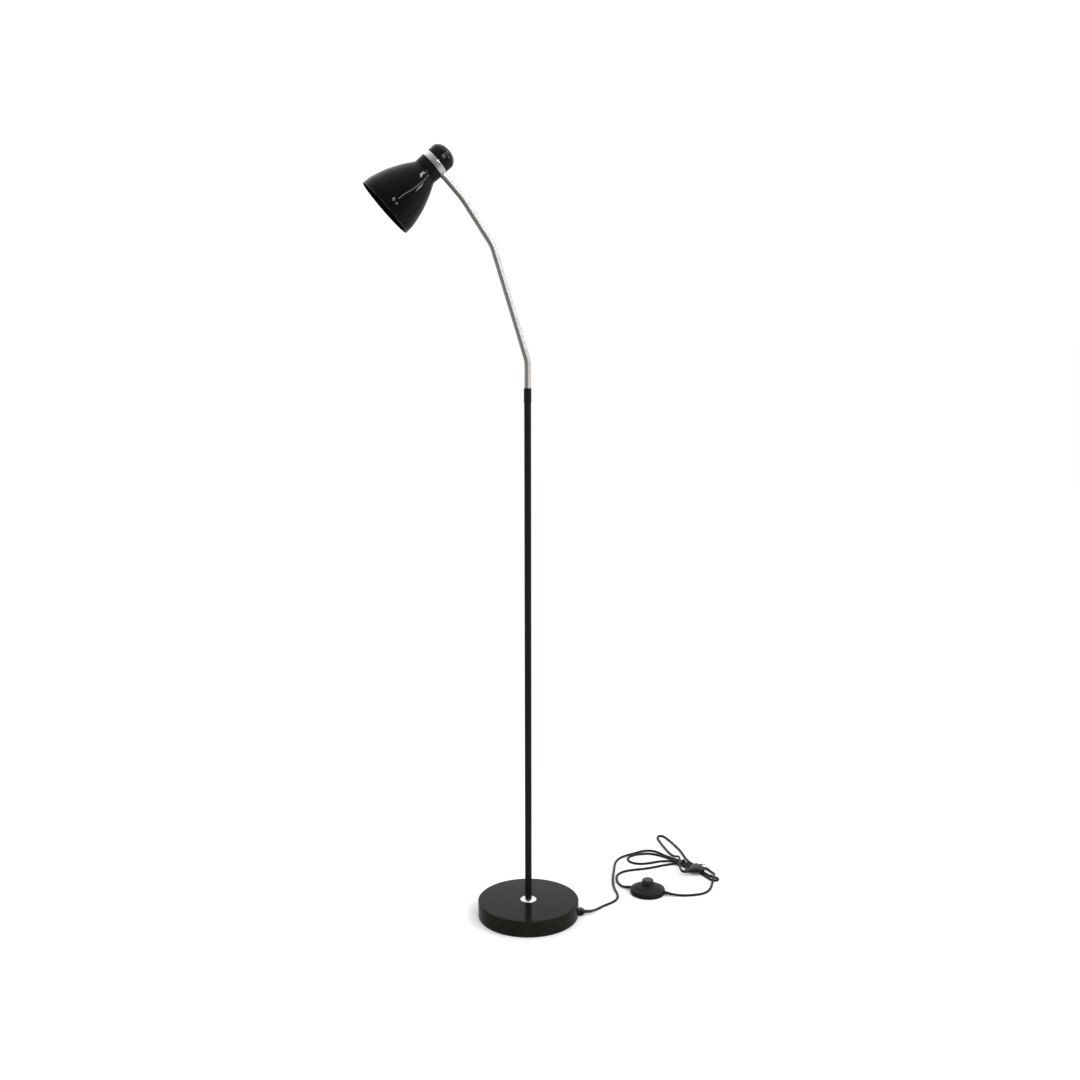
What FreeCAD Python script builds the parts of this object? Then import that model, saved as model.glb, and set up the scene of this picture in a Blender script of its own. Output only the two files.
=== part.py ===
import FreeCAD, Part
import math
import os

# Gooseneck reading floor lamp. Millimetres. Z up, floor at z = 0, pole on the Z axis,
# neck and head in the XZ plane leaning to -X, cord lying on the floor towards +X.

os.makedirs("parts", exist_ok=True)
V = FreeCAD.Vector

# driving sizes
BASE_R = 95.0
PAD_T = 2.0
PAD_INSET = 1.5
STONE_T = 30.0
STONE_EDGE = 1.2
ROD_R = 4.9
ROD_BORE = 3.4
ROD_STAND = 30.0
INSERT_WALL = 0.4
INSERT_LEN = 28.0
NUT_T = 6.0
WASHER_R = 15.0
WASHER_T = 2.0
POLE_WALL = 1.0
POLE_LEN = 939.0
ROSETTE_R = 15.5
ROSETTE_T = 3.0
SLEEVE_STEP = 0.5
SLEEVE_LEN = 26.0
SLEEVE_GRIP = 21.0
NECK_R = 5.8
GROOVE_DEPTH = 0.5
NECK_BORE = 3.0
SPIGOT_LEN = 14.0
RIB_PITCH = 6.0
GROOVE_SHARE = 0.3
GROOVE_SLOPE = 0.7
HEAD_TILT = 41.0
MOUTH_R = 55.0
SHADE_END_R = 23.6
SHADE_LEN = 94.0
SHADE_WALL = 1.2
COLLAR_LEN = 14.7
COLLAR_WALL = 1.7
BAND_STEP = 1.2
BAND_LEN = 11.0
BAND_WALL = 1.6
CAP_LEN = 27.8
CAP_WALL = 2.1
NECK_RISE = 4.3
FERRULE_LEN = 6.0
FERRULE_STEP = 0.5
NIPPLE_R = 4.4
NIPPLE_BORE = 3.2
HOLDER_R = 13.6
HOLDER_LEN = 34.0
SOCKET_BORE = 7.5
SOCKET_WALL = 0.9
BULB_R = 22.5
BULB_CENTRE = 33.0
BULB_WALL = 1.3
CORD_D = 4.5
SWITCH_X = 247.6
SWITCH_Y = 57.0
SWITCH_R = 34.0
SWITCH_WALL = 2.0
SWITCH_SPLIT = 7.0
SWITCH_H = 17.5
SWITCH_HEADING = -30.0
BUTTON_R = 11.3
BUTTON_LIP = 2.5
BUTTON_TRAVEL = 3.0
BUTTON_PROUD = 8.5
BUTTON_CROWN = 9.2
SPRING_R = 5.5
SPRING_WIRE = 1.0
OUTLET_HEADING = -9.0
OUTLET_IN = 13.0
OUTLET_OUT = 10.5
OUTLET_W = 15.0
OUTLET_T = 12.0
OUTLET_UP = 0.3
NOSE_LEN = 3.0

# clearances
SCREW_GAP = 0.05
BALL_GAP = 0.3
BUTTON_GAP = 0.4
SEAT_GAP = 0.3
FREE_GAP = 0.2
BULB_GAP = 0.5

# sizes that follow from them
STONE_TOP = PAD_T + STONE_T
POLE_R = ROD_R + SCREW_GAP + INSERT_WALL + POLE_WALL
POLE_TOP = STONE_TOP + POLE_LEN
SLEEVE_R = POLE_R + SLEEVE_STEP
SLEEVE_TOP = POLE_TOP + SLEEVE_LEN
NECK_ROOT = NECK_R - GROOVE_DEPTH
SPIGOT_R = NECK_ROOT - 0.3
BAND_R = SHADE_END_R + BAND_STEP
BAND_BORE = BAND_R - BAND_WALL
BAND_FOOT = SHADE_LEN + COLLAR_LEN
BAND_TOP = BAND_FOOT + BAND_LEN
CAP_TOP = BAND_TOP + CAP_LEN
MOUTH_TO_NECK = BAND_FOOT + NECK_RISE
FERRULE_R = NECK_R + FERRULE_STEP
COLLAR_IN = SHADE_END_R - COLLAR_WALL
BUTTON_TOP = SWITCH_H + BUTTON_TRAVEL + BUTTON_PROUD
OUTLET_END = BASE_R + OUTLET_OUT
CORD_EXIT_Z = OUTLET_UP + OUTLET_T / 2 + 0.2

# neck centre line: straight length, then turn in degrees over an arc length
NECK_PATH = [(41.0, 0), (13.0, 17), (192.2, 0), (20.0, 16), (72.1, 0), (24.0, 8), (31.7, 0)]
NECK_LEN = sum(p[0] for p in NECK_PATH)
JOINTS = [32.0, 95.0, 158.0, 221.0, 278.0, 328.0]
SHOULDER = 1.5
RIM = 2.0

NODES = {}


def put(name, shape):
    NODES[name] = shape


def cyl(r, z0, z1, x=0.0, y=0.0):
    return Part.makeCylinder(r, z1 - z0, V(x, y, z0))


def tube(ro, ri, z0, z1):
    return cyl(ro, z0, z1).cut(cyl(ri, z0 - 1, z1 + 1))


def box(x0, x1, y0, y1, z0, z1):
    return Part.makeBox(x1 - x0, y1 - y0, z1 - z0, V(x0, y0, z0))


def lathe(profile):
    pts = [V(r, 0, z) for r, z in profile]
    face = Part.Face(Part.makePolygon(pts + [pts[0]]))
    return face.revolve(V(0, 0, 0), V(0, 0, 1), 360)


def prism(points, z0, z1):
    pts = [V(x, y, z0) for x, y in points]
    face = Part.Face(Part.makePolygon(pts + [pts[0]]))
    return face.extrude(V(0, 0, z1 - z0))


def hex_nut(flats, hole, z0, z1):
    r = flats / math.sqrt(3)
    pts = [(r * math.cos(math.radians(60 * i)), r * math.sin(math.radians(60 * i))) for i in range(6)]
    return prism(pts, z0, z1).cut(cyl(hole, z0 - 1, z1 + 1))


def spin(shape, degrees):
    out = shape.copy()
    out.rotate(V(0, 0, 0), V(0, 0, 1), degrees)
    return out


def move(shape, origin, xdir, zdir):
    ydir = zdir.cross(xdir)
    out = shape.copy()
    out.Placement = FreeCAD.Placement(origin, FreeCAD.Rotation(xdir, ydir, zdir)).multiply(out.Placement)
    return out


# ---------------------------------------------------------------- base and pole

def make_base():
    c = STONE_EDGE
    stone = lathe([(0, PAD_T), (BASE_R - c, PAD_T), (BASE_R, PAD_T + c), (BASE_R, STONE_TOP - c),
                   (BASE_R - c, STONE_TOP), (0, STONE_TOP)])
    nut_z = PAD_T + 4.0
    wash_z = nut_z + NUT_T
    seat_z = wash_z + WASHER_T
    stone = stone.cut(cyl(ROD_R + FREE_GAP, wash_z - 2, STONE_TOP + 8))
    stone = stone.cut(cyl(WASHER_R + 5.0, 0, seat_z))
    x0 = BASE_R - OUTLET_IN
    x1 = BASE_R + 5.0
    half = OUTLET_W / 2
    top = OUTLET_UP + OUTLET_T
    channel = box(WASHER_R, x0 + 2.0, -CORD_D / 2 - 1.25, CORD_D / 2 + 1.25, 0, top - 2.3)
    stone = stone.cut(spin(channel, OUTLET_HEADING))
    stone = stone.cut(spin(box(x0, x1, -half - SEAT_GAP, half + SEAT_GAP, 0, top), OUTLET_HEADING))
    put("base_disc", stone)
    pad = cyl(BASE_R - PAD_INSET, 0, PAD_T)
    pad_cut = box(x0 - SEAT_GAP, x1, -half - SEAT_GAP, half + SEAT_GAP, -1, PAD_T + 3)
    put("base_felt_pad", pad.cut(spin(pad_cut, OUTLET_HEADING)))
    block = box(x0, OUTLET_END - NOSE_LEN, -half, half, OUTLET_UP, top)
    nose = Part.makeCylinder(OUTLET_T / 2, NOSE_LEN, V(OUTLET_END - NOSE_LEN, 0, OUTLET_UP + OUTLET_T / 2), V(1, 0, 0))
    bore = Part.makeCylinder(CORD_D / 2 + SEAT_GAP, OUTLET_END - x0 + 2, V(x0 - 1, 0, CORD_EXIT_Z), V(1, 0, 0))
    bore_len = OUTLET_IN + OUTLET_OUT - 4.5
    bore = bore.common(box(x0 - 1, x0 + bore_len, -9, 9, -1, 20))
    put("cord_outlet", spin(block.fuse(nose).cut(bore), OUTLET_HEADING))
    put("base_washer", tube(WASHER_R, ROD_R + SCREW_GAP, wash_z, seat_z))
    put("base_nut", hex_nut(17.0, ROD_R + SCREW_GAP, nut_z, wash_z))
    put("base_threaded_rod", tube(ROD_R, ROD_BORE, nut_z - 1.5, STONE_TOP + ROD_STAND))
    put("base_rosette", lathe([(POLE_R + SCREW_GAP, STONE_TOP), (ROSETTE_R, STONE_TOP),
                               (ROSETTE_R - 0.5, STONE_TOP + ROSETTE_T / 3),
                               (POLE_R + 5.15, STONE_TOP + ROSETTE_T - 0.6),
                               (POLE_R + SCREW_GAP, STONE_TOP + ROSETTE_T)]))


def make_pole():
    bore = POLE_R - POLE_WALL
    plug_r = bore - SCREW_GAP
    put("pole", tube(POLE_R, bore, STONE_TOP, POLE_TOP))
    put("pole_foot_insert", tube(bore, ROD_R + SCREW_GAP, STONE_TOP, STONE_TOP + INSERT_LEN))
    low = POLE_TOP - SLEEVE_GRIP
    seat = SLEEVE_TOP - SPIGOT_LEN
    hole = SPIGOT_R + SCREW_GAP
    put("pole_top_sleeve", lathe([(plug_r, low), (plug_r, POLE_TOP), (SLEEVE_R, POLE_TOP),
                                  (SLEEVE_R, SLEEVE_TOP - 0.6), (SLEEVE_R - 0.45, SLEEVE_TOP), (hole, SLEEVE_TOP),
                                  (hole, seat), (ROD_BORE, seat), (ROD_BORE, low)]))


# ---------------------------------------------------------------- gooseneck

def neck_point(s):
    """Centre-line point and tilt from vertical (degrees) at arc length s."""
    x = 0.0
    z = SLEEVE_TOP
    a = 0.0
    if s < 0:
        return x, z + s, a
    if s > NECK_LEN:
        x, z, a = neck_point(NECK_LEN)
        over = s - NECK_LEN
        return x - over * math.sin(math.radians(a)), z + over * math.cos(math.radians(a)), a
    for length, turn in NECK_PATH:
        step = min(s, length)
        if turn == 0:
            x -= step * math.sin(math.radians(a))
            z += step * math.cos(math.radians(a))
        else:
            r = length / math.radians(turn)
            b = a + turn * step / length
            x -= r * (math.cos(math.radians(a)) - math.cos(math.radians(b)))
            z += r * (math.sin(math.radians(b)) - math.sin(math.radians(a)))
            a = b
        s -= step
        if s <= 1e-9:
            break
    return x, z, a


def neck_dir(a):
    return V(-math.sin(math.radians(a)), 0, math.cos(math.radians(a)))


def circle_at(s, r):
    x, z, a = neck_point(s)
    wire = Part.Wire([Part.makeCircle(r, V(0, 0, 0), V(0, 0, 1))])
    wire.rotate(V(0, 0, 0), V(0, 1, 0), -a)
    wire.translate(V(x, 0, z))
    return wire


def stations_in_bends(lo, hi, step):
    out = []
    s = 0.0
    for length, turn in NECK_PATH:
        if turn:
            n = max(2, int(math.ceil(length / step)))
            out += [s + length * i / n for i in range(n + 1)]
        s += length
    return [v for v in out if lo + 0.2 < v < hi - 0.2]


def neck_tube(lo, hi, r):
    st = [lo] + stations_in_bends(lo, hi, 7.0) + [hi]
    return Part.makeLoft([circle_at(s, r) for s in st], True, True)


def neck_sphere(s, r):
    x, z, a = neck_point(s)
    return Part.makeSphere(r, V(x, 0, z))


def ribbed(lo, hi, plain):
    """Ribs as a ruled loft: each groove is four circles, down to the root and back up."""
    n = max(2, int(round((hi - lo - 2 * plain) / RIB_PITCH)))
    pitch = (hi - lo - 2 * plain) / n
    st = [(lo, NECK_R)]
    for i in range(n):
        mid = lo + plain + pitch * (i + 0.5)
        half = pitch * GROOVE_SHARE / 2
        st.append((mid - half - GROOVE_SLOPE, NECK_R))
        st.append((mid - half, NECK_ROOT))
        st.append((mid + half, NECK_ROOT))
        st.append((mid + half + GROOVE_SLOPE, NECK_R))
    st.append((hi, NECK_R))
    return Part.makeLoft([circle_at(s, r) for s, r in st], True, True)


def make_neck():
    ends = [0.0] + JOINTS + [NECK_LEN]
    for k in range(7):
        lo = ends[k] + (RIM if k else 0.0)
        hi = ends[k + 1] - (SHOULDER if k < 6 else 0.0)
        body = ribbed(lo, hi, 1.5 if k < 6 else 6.0)
        if k == 0:
            body = body.fuse(neck_tube(-SPIGOT_LEN, 0.5, SPIGOT_R))
        if k < 6:
            dome = neck_sphere(ends[k + 1], NECK_ROOT)
            keep = neck_tube(hi - 1.0, ends[k + 1] + NECK_ROOT + 1, NECK_R + 3)
            body = body.fuse(dome.common(keep))
        top = ends[k + 1] + 8.0 if k < 6 else NECK_LEN + 1.0
        low = -SPIGOT_LEN - 1.0 if k == 0 else ends[k] - 1.0
        body = body.cut(neck_tube(low, top, NECK_BORE))
        if k > 0:
            body = body.cut(neck_sphere(ends[k], NECK_ROOT + BALL_GAP))
        if k == 6:
            body = body.cut(neck_tube(NECK_LEN - 10.2, NECK_LEN + 1.0, NIPPLE_R + SCREW_GAP))
        put("neck_section_%d" % (k + 1), body)


# ---------------------------------------------------------------- head

EX, EZ, EA = neck_point(NECK_LEN)
AXIS = V(math.cos(math.radians(HEAD_TILT)), 0, math.sin(math.radians(HEAD_TILT)))
SIDE = V(math.sin(math.radians(HEAD_TILT)), 0, -math.cos(math.radians(HEAD_TILT)))
NECK_X = BAND_R + FERRULE_LEN
MOUTH = V(EX, 0, EZ) - SIDE * NECK_X - AXIS * MOUTH_TO_NECK


def head(name, shape):
    put(name, move(shape, MOUTH, SIDE, AXIS))


def along_x(r, x0, x1, z):
    return Part.makeCylinder(r, x1 - x0, V(x0, 0, z), V(1, 0, 0))


def bell():
    """Outside of the shade from mouth to narrow end, as (radius, distance from the mouth)."""
    swell = [(0, 0), (0.032, 0.165), (0.143, 0.327), (0.290, 0.489), (0.490, 0.653), (0.726, 0.816), (0.959, 0.952)]
    drop = MOUTH_R - SHADE_END_R
    return [(MOUTH_R - drop * a, SHADE_LEN * b) for a, b in swell] + [(SHADE_END_R, SHADE_LEN)]


def make_head():
    out = bell()
    inn = [(r - SHADE_WALL, z - SHADE_WALL / 4) for r, z in out[-2:0:-1]]
    hole = HOLDER_R + 0.9
    head("shade", lathe(out + [(hole, SHADE_LEN), (hole, SHADE_LEN - SHADE_WALL),
                               (SHADE_END_R - SHADE_WALL - 0.1, SHADE_LEN - SHADE_WALL)] + inn
                        + [(MOUTH_R - SHADE_WALL, 0)]))
    under = SHADE_LEN - SHADE_WALL
    head("shade_ring_nut", tube(HOLDER_R + 5.4, HOLDER_R + SCREW_GAP, under - 3.5, under))
    sock = SOCKET_BORE + SOCKET_WALL
    top = SHADE_LEN + 7.0
    rod = ROD_R + SCREW_GAP
    head("lamp_holder", lathe([(sock, SHADE_LEN - HOLDER_LEN), (HOLDER_R, SHADE_LEN - HOLDER_LEN),
                               (HOLDER_R, SHADE_LEN), (HOLDER_R + 3.4, SHADE_LEN), (HOLDER_R + 3.4, SHADE_LEN + 2),
                               (HOLDER_R, SHADE_LEN + 2), (HOLDER_R - 1.0, top), (rod, top), (rod, SHADE_LEN + 1),
                               (0, SHADE_LEN + 1), (0, SHADE_LEN - 2), (sock, SHADE_LEN - 2)]))
    head("holder_sleeve", tube(sock, SOCKET_BORE, SHADE_LEN - HOLDER_LEN + 2, SHADE_LEN - 3.5))
    head("holder_contact", tube(3.2, 1.0, SHADE_LEN - 3.8, SHADE_LEN - 2))
    spigot = BAND_BORE - 0.1
    ledge = COLLAR_IN - 4.5
    collar = lathe([(SHADE_END_R, SHADE_LEN), (SHADE_END_R + 0.4, SHADE_LEN + 2.5), (BAND_R - 0.3, BAND_FOOT),
                    (spigot, BAND_FOOT), (spigot, BAND_FOOT + 2.8), (COLLAR_IN, BAND_FOOT + 2.8), (COLLAR_IN, top),
                    (ledge, top), (ledge, top - 2), (COLLAR_IN, top - 3), (COLLAR_IN, SHADE_LEN)])
    screw_y = (ledge + COLLAR_IN) / 2 - 0.65
    for y in (-screw_y, screw_y):
        collar = collar.cut(cyl(1.45, SHADE_LEN + 2, top + 1, 0, y))
    half = FERRULE_R + 0.7
    head("shade_collar", collar.cut(box(SHADE_END_R - 8.6, BAND_R + 1.2, -half, half, BAND_FOOT, BAND_FOOT + 6.3)))
    plate_top = top + 1.5
    plate = tube(COLLAR_IN - SEAT_GAP, rod, top, plate_top)
    for y in (-screw_y, screw_y):
        plate = plate.cut(cyl(1.45, top - 1, plate_top + 1, 0, y))
    head("holder_bracket", plate)
    screws = []
    for y in (-screw_y, screw_y):
        screws.append(cyl(1.4, top - 3.5, plate_top, 0, y).fuse(cyl(2.4, plate_top, plate_top + 1.5, 0, y)))
    head("bracket_screws", Part.makeCompound(screws))
    head("holder_nipple", tube(ROD_R, NECK_BORE, SHADE_LEN + 1, plate_top + 5.5))
    head("holder_nut", hex_nut(2 * ROD_R + 5.2, rod, plate_top, plate_top + 3.0))
    band = tube(BAND_R, BAND_BORE, BAND_FOOT, BAND_TOP)
    boss = box(BAND_BORE - 4.2, BAND_BORE + 0.4, -half + 0.5, half - 0.5, BAND_FOOT + SEAT_GAP, BAND_TOP - SEAT_GAP)
    hole = along_x(NIPPLE_R + SCREW_GAP, BAND_BORE - 8.2, BAND_R + 5.2, MOUTH_TO_NECK)
    head("chrome_band", band.fuse(boss).cut(hole))
    cap_r = BAND_R - 0.9
    lip = BAND_TOP - 3.2
    cap = lathe([(BAND_BORE - SEAT_GAP, lip), (BAND_BORE - SEAT_GAP, BAND_TOP), (cap_r, BAND_TOP),
                 (cap_r, CAP_TOP - 14.5), (cap_r - 1.7, CAP_TOP - 9.5), (cap_r - 6.0, CAP_TOP - 4.5),
                 (cap_r - 14.4, CAP_TOP - 0.8), (0, CAP_TOP), (0, CAP_TOP - CAP_WALL),
                 (cap_r - CAP_WALL - 5.8, CAP_TOP - CAP_WALL - 3.8), (cap_r - CAP_WALL - 0.1, CAP_TOP - 15.0),
                 (cap_r - CAP_WALL - 0.4, lip)])
    head("cap", cap.cut(box(SHADE_END_R - 8.6, BAND_R + 1.2, -half, half, BAND_FOOT + 1.3, BAND_TOP)))
    ferrule = along_x(FERRULE_R, BAND_R - 1.8, NECK_X, MOUTH_TO_NECK).cut(cyl(BAND_R, BAND_FOOT - 20, BAND_TOP + 20))
    head("neck_ferrule", ferrule.cut(along_x(NIPPLE_R + SCREW_GAP, BAND_R - 5, NECK_X + 10, MOUTH_TO_NECK)))
    boss_x = BAND_BORE - 4.2
    nipple = along_x(NIPPLE_R, boss_x - 2.6, NECK_X + 10.0, MOUTH_TO_NECK)
    head("neck_nipple", nipple.cut(along_x(NIPPLE_BORE, boss_x - 9, NECK_X + 20, MOUTH_TO_NECK)))
    nut = hex_nut(2 * NIPPLE_R + 3.2, NIPPLE_R + SCREW_GAP, boss_x - 2.8, boss_x)
    nut.rotate(V(0, 0, 0), V(0, 1, 0), 90)
    nut.translate(V(0, 0, MOUTH_TO_NECK))
    head("neck_locknut", nut)


def make_bulb():
    g = BULB_CENTRE
    r = BULB_R
    cap_r = SOCKET_BORE - BULB_GAP
    foot = SHADE_LEN - HOLDER_LEN + 2.0
    out = [(0, g - r)]
    for a in (22, 46, 70, 95, 120, 143):
        out.append((r * math.sin(math.radians(a)), g - r * math.cos(math.radians(a))))
    out += [(cap_r + 1.6, foot - 4.5), (cap_r, foot)]
    inn = [(cap_r - 1.0, foot), (cap_r + 0.6, foot - 5.0)]
    for a in (140, 110, 75, 40):
        inn.append(((r - BULB_WALL) * math.sin(math.radians(a)), g - (r - BULB_WALL) * math.cos(math.radians(a))))
    inn.append((0, g - r + 0.9))
    head("bulb_glass", lathe(out + inn))
    tip = SHADE_LEN - 3.9
    head("bulb_cap", lathe([(0, foot), (cap_r, foot), (cap_r, tip - 6.1), (4.6, tip - 2.1), (2.2, tip - 2.1),
                            (2.2, tip), (0, tip)]))


# ---------------------------------------------------------------- foot switch

def at_switch(shape):
    out = spin(shape, SWITCH_HEADING)
    out.translate(V(SWITCH_X, SWITCH_Y, 0))
    return out


def make_switch():
    r = SWITCH_R
    w = r - SWITCH_WALL
    z = SWITCH_SPLIT
    h = SWITCH_H
    hole = BUTTON_R + BUTTON_GAP
    lip = BUTTON_R + BUTTON_LIP
    low = lathe([(0, 0), (r - 0.8, 0), (r, 0.8), (r, z), (w, z), (w, SWITCH_WALL), (0, SWITCH_WALL)])
    top = lathe([(r, z), (r - 0.8, z + 2.6), (r - 5.8, h - 5.6), (r - 13.5, h - 1.6), (lip + 0.5, h), (hole, h),
                 (hole, h - SWITCH_WALL), (lip, h - SWITCH_WALL), (w - 12.4, h - 3.5), (w - 5.2, h - 7.2),
                 (w - 0.6, z + 1.6), (w, z)])
    screws = []
    for sy in (-1, 1):
        y = (r - 11.0) * sy
        low = low.fuse(cyl(3.2, SWITCH_WALL - 0.5, z + 2, 0, y)).cut(cyl(1.55, 0, z + 3, 0, y)).cut(cyl(2.8, -1, 1.6, 0, y))
        post = cyl(3.2, z + 2, h - 4, 0, y).cut(cyl(1.4, z + 1, h - 6.5, 0, y))
        top = top.fuse(post.common(lathe([(0, z - 2), (r - 1, z - 2), (r - 1, z + 2.6), (r - 6, h - 5.8),
                                          (r - 14, h - 2.1), (lip, h - 0.5), (0, h - 0.5)])))
        screws.append(cyl(1.4, 1.5, h - 7.0, 0, y).fuse(cyl(2.6, 0.3, 1.5, 0, y)))
    put("switch_lower_housing", at_switch(low))
    put("switch_upper_housing", at_switch(top))
    put("switch_screws", at_switch(Part.makeCompound(screws)))
    module_top = h - 5.0
    module = box(-12, 12, -10, 10, SWITCH_WALL, h - 7.5).fuse(cyl(SPRING_R + 1.5, h - 7.5, module_top))
    put("switch_module", at_switch(module))
    flange = h - SWITCH_WALL - SEAT_GAP
    shell = BUTTON_R - 1.9
    ceiling = BUTTON_TOP - BUTTON_CROWN
    button = lathe([(0, BUTTON_TOP), (BUTTON_R - 2.3, BUTTON_TOP - 0.3), (BUTTON_R, BUTTON_TOP - 2.1),
                    (BUTTON_R, flange), (lip, flange), (lip, flange - 1.5), (shell, flange - 1.5), (shell, ceiling),
                    (0, ceiling)])
    put("switch_button", at_switch(button))
    q = SPRING_WIRE / 2
    rise = ceiling - module_top - SPRING_WIRE
    coil = Part.makeHelix(rise / 3, rise, SPRING_R)
    a = SPRING_R - q
    b = SPRING_R + q
    sect = Part.makePolygon([V(a, 0, -q), V(b, 0, -q), V(b, 0, q), V(a, 0, q), V(a, 0, -q)])
    spring = Part.Wire(coil.Edges).makePipeShell([sect], True, True)
    spring.translate(V(0, 0, module_top + q))
    put("switch_spring", at_switch(Part.Solid(spring) if spring.ShapeType == "Shell" else spring))


# ---------------------------------------------------------------- cord

LANE_PITCH = 5.2
FZ = CORD_D / 2 + 0.05
TIE_T = 0.9
TIE_AL = 26.0
WAIST_X = 366.0
WAIST_Y = 156.0
WAIST_HEADING = 122.0
OVER_Z = FZ + 2 * CORD_D
LIFT_Z = CORD_D / 2 + TIE_T + 0.15
PLUG_H = 18.0
PLUG_TILT = 3.0
PLUG_LEN = 31.0
FACE_X = 377.2
FACE_Y = 132.2
FACE_Z = 11.1
CT = math.cos(math.radians(PLUG_TILT))
ST = math.sin(math.radians(PLUG_TILT))
CH = math.cos(math.radians(PLUG_H))
SH = math.sin(math.radians(PLUG_H))
REAR = (FACE_X - PLUG_LEN * CT * CH, FACE_Y - PLUG_LEN * CT * SH, FACE_Z - PLUG_LEN * ST)


def waist(al, pe, z=FZ):
    """A point of the gathered middle: al along it, pe across it."""
    u = math.radians(WAIST_HEADING)
    return (WAIST_X + al * math.cos(u) + pe * math.sin(u),
            WAIST_Y + al * math.sin(u) - pe * math.cos(u), z)


def bow(al):
    return 2.4 * math.cos(math.radians(al * 1.7)) - 1.2


def lane(k, stations):
    return [waist(al, k * LANE_PITCH + bow(al), LIFT_Z if abs(al - TIE_AL) < 10 else FZ) for al in stations]


def fold(al, pe, r, start, end, n):
    step = (end - start) / (n - 1)
    rr = r / math.cos(math.radians(step / 2))
    out = []
    for i in range(n):
        a = math.radians(start + step * i)
        out.append(waist(al + rr * math.cos(a), pe + rr * math.sin(a)))
    return out


def ring(cx, cy, r, start, end, n, z):
    step = (end - start) / n
    rr = r / math.cos(math.radians(step / 2))
    out = []
    for i in range(n):
        a = math.radians(start + step * (i + 0.5))
        out.append((cx + rr * math.cos(a), cy + rr * math.sin(a), z))
    return out


def pol(cx, cy, heading, d, z):
    a = math.radians(heading)
    return (cx + d * math.cos(a), cy + d * math.sin(a), z)


def sw(heading, d, z):
    return pol(SWITCH_X, SWITCH_Y, heading, d, z)


def floor(points):
    return [(x, y, FZ) for x, y in points]


def route_from_base():
    pts = [pol(0, 0, OUTLET_HEADING, OUTLET_END, CORD_EXIT_Z),
           pol(0, 0, OUTLET_HEADING, OUTLET_END + 11.5, CORD_EXIT_Z - 0.5), (133, -4.5, 3.4)]
    pts += floor([(146, 8), (160, 16.5), (173.5, 25.5), (183.5, 39), (187, 56), (186, 80), (190, 112),
                  (197, 141), (206, 169), (214, 199), (226, 222), (243, 236), (264, 244), (284, 254),
                  (302, 255), (316, 246)])
    return pts + lane(1, [77, 60])


def route_hank():
    pts = lane(1, [60, 46, 33, 19, 1]) + [waist(-17, 4.4), waist(-37, -2.4), waist(-54, -5.8)]
    pts += fold(-70, -9.6, 7.4, 60, 300, 6)
    pts += [waist(-53, -14.6), waist(-36, -9.2), waist(-17, -1.5)] + lane(0, [1, 19, 33, 48, 63])
    pts += floor([(312, 231), (296, 239), (276, 240), (259, 235), (247.5, 224), (245.5, 208), (254, 195),
                  (269, 189), (289, 191), (309, 196.5), (325, 194)])
    pts += lane(-1, [47, 33, 19, 5])
    pts += fold(-8, -12.6, 6.8, 60, 300, 6)
    return pts + lane(-2, [6, 19])


def route_to_switch():
    pts = lane(-2, [19, 32])
    pts += floor([(330, 178.5), (310, 175), (291, 169), (270, 165), (249, 164), (231, 162), (215, 154),
                  (205.5, 142), (201.5, 127), (199, 111), (202, 95)])
    return pts + [sw(SWITCH_HEADING + 180, SWITCH_R + 14, 4.5), sw(SWITCH_HEADING + 180, SWITCH_R, 6.0)]


def route_from_switch():
    pts = [sw(SWITCH_HEADING, SWITCH_R, 6.0), sw(SWITCH_HEADING, SWITCH_R + 14, 4.4)]
    pts += floor([(309, 28), (332, 26), (353, 29), (368, 40), (379, 58)])
    pts += [(388, 77, OVER_Z), (397, 98, OVER_Z), (401, 117, FZ), (398, 134, FZ)]
    return pts + [waist(-17, 17.0), waist(-2, 12.8)]


def route_plug_loop():
    pts = [waist(-2, 12.8)]
    pts += floor([(371.6, 171.5), (368.2, 184), (366.4, 199), (366.2, 217), (366.4, 238), (364, 262), (359.5, 292), (355, 314), (351, 325), (345, 329),
                  (339, 325), (336, 315), (336, 300), (336.6, 277), (338.2, 254), (340, 232)])
    pts += [waist(57, 11.2, FZ + 1.5), waist(41, 7.0, OVER_Z), waist(25, -8.0, OVER_Z), (340.5, 158, OVER_Z),
            (337.5, 146, OVER_Z - 0.8), (336.5, 137, 9.9), (336.6, 131, 9.6)]
    r = 5.6
    ex = REAR[0] - 4.0 * CH
    ey = REAR[1] - 4.0 * SH
    pts += ring(ex - r * SH, ey + r * CH, r, 180, 270 + PLUG_H, 4, REAR[2] - 0.1)
    return pts + [REAR]


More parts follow.
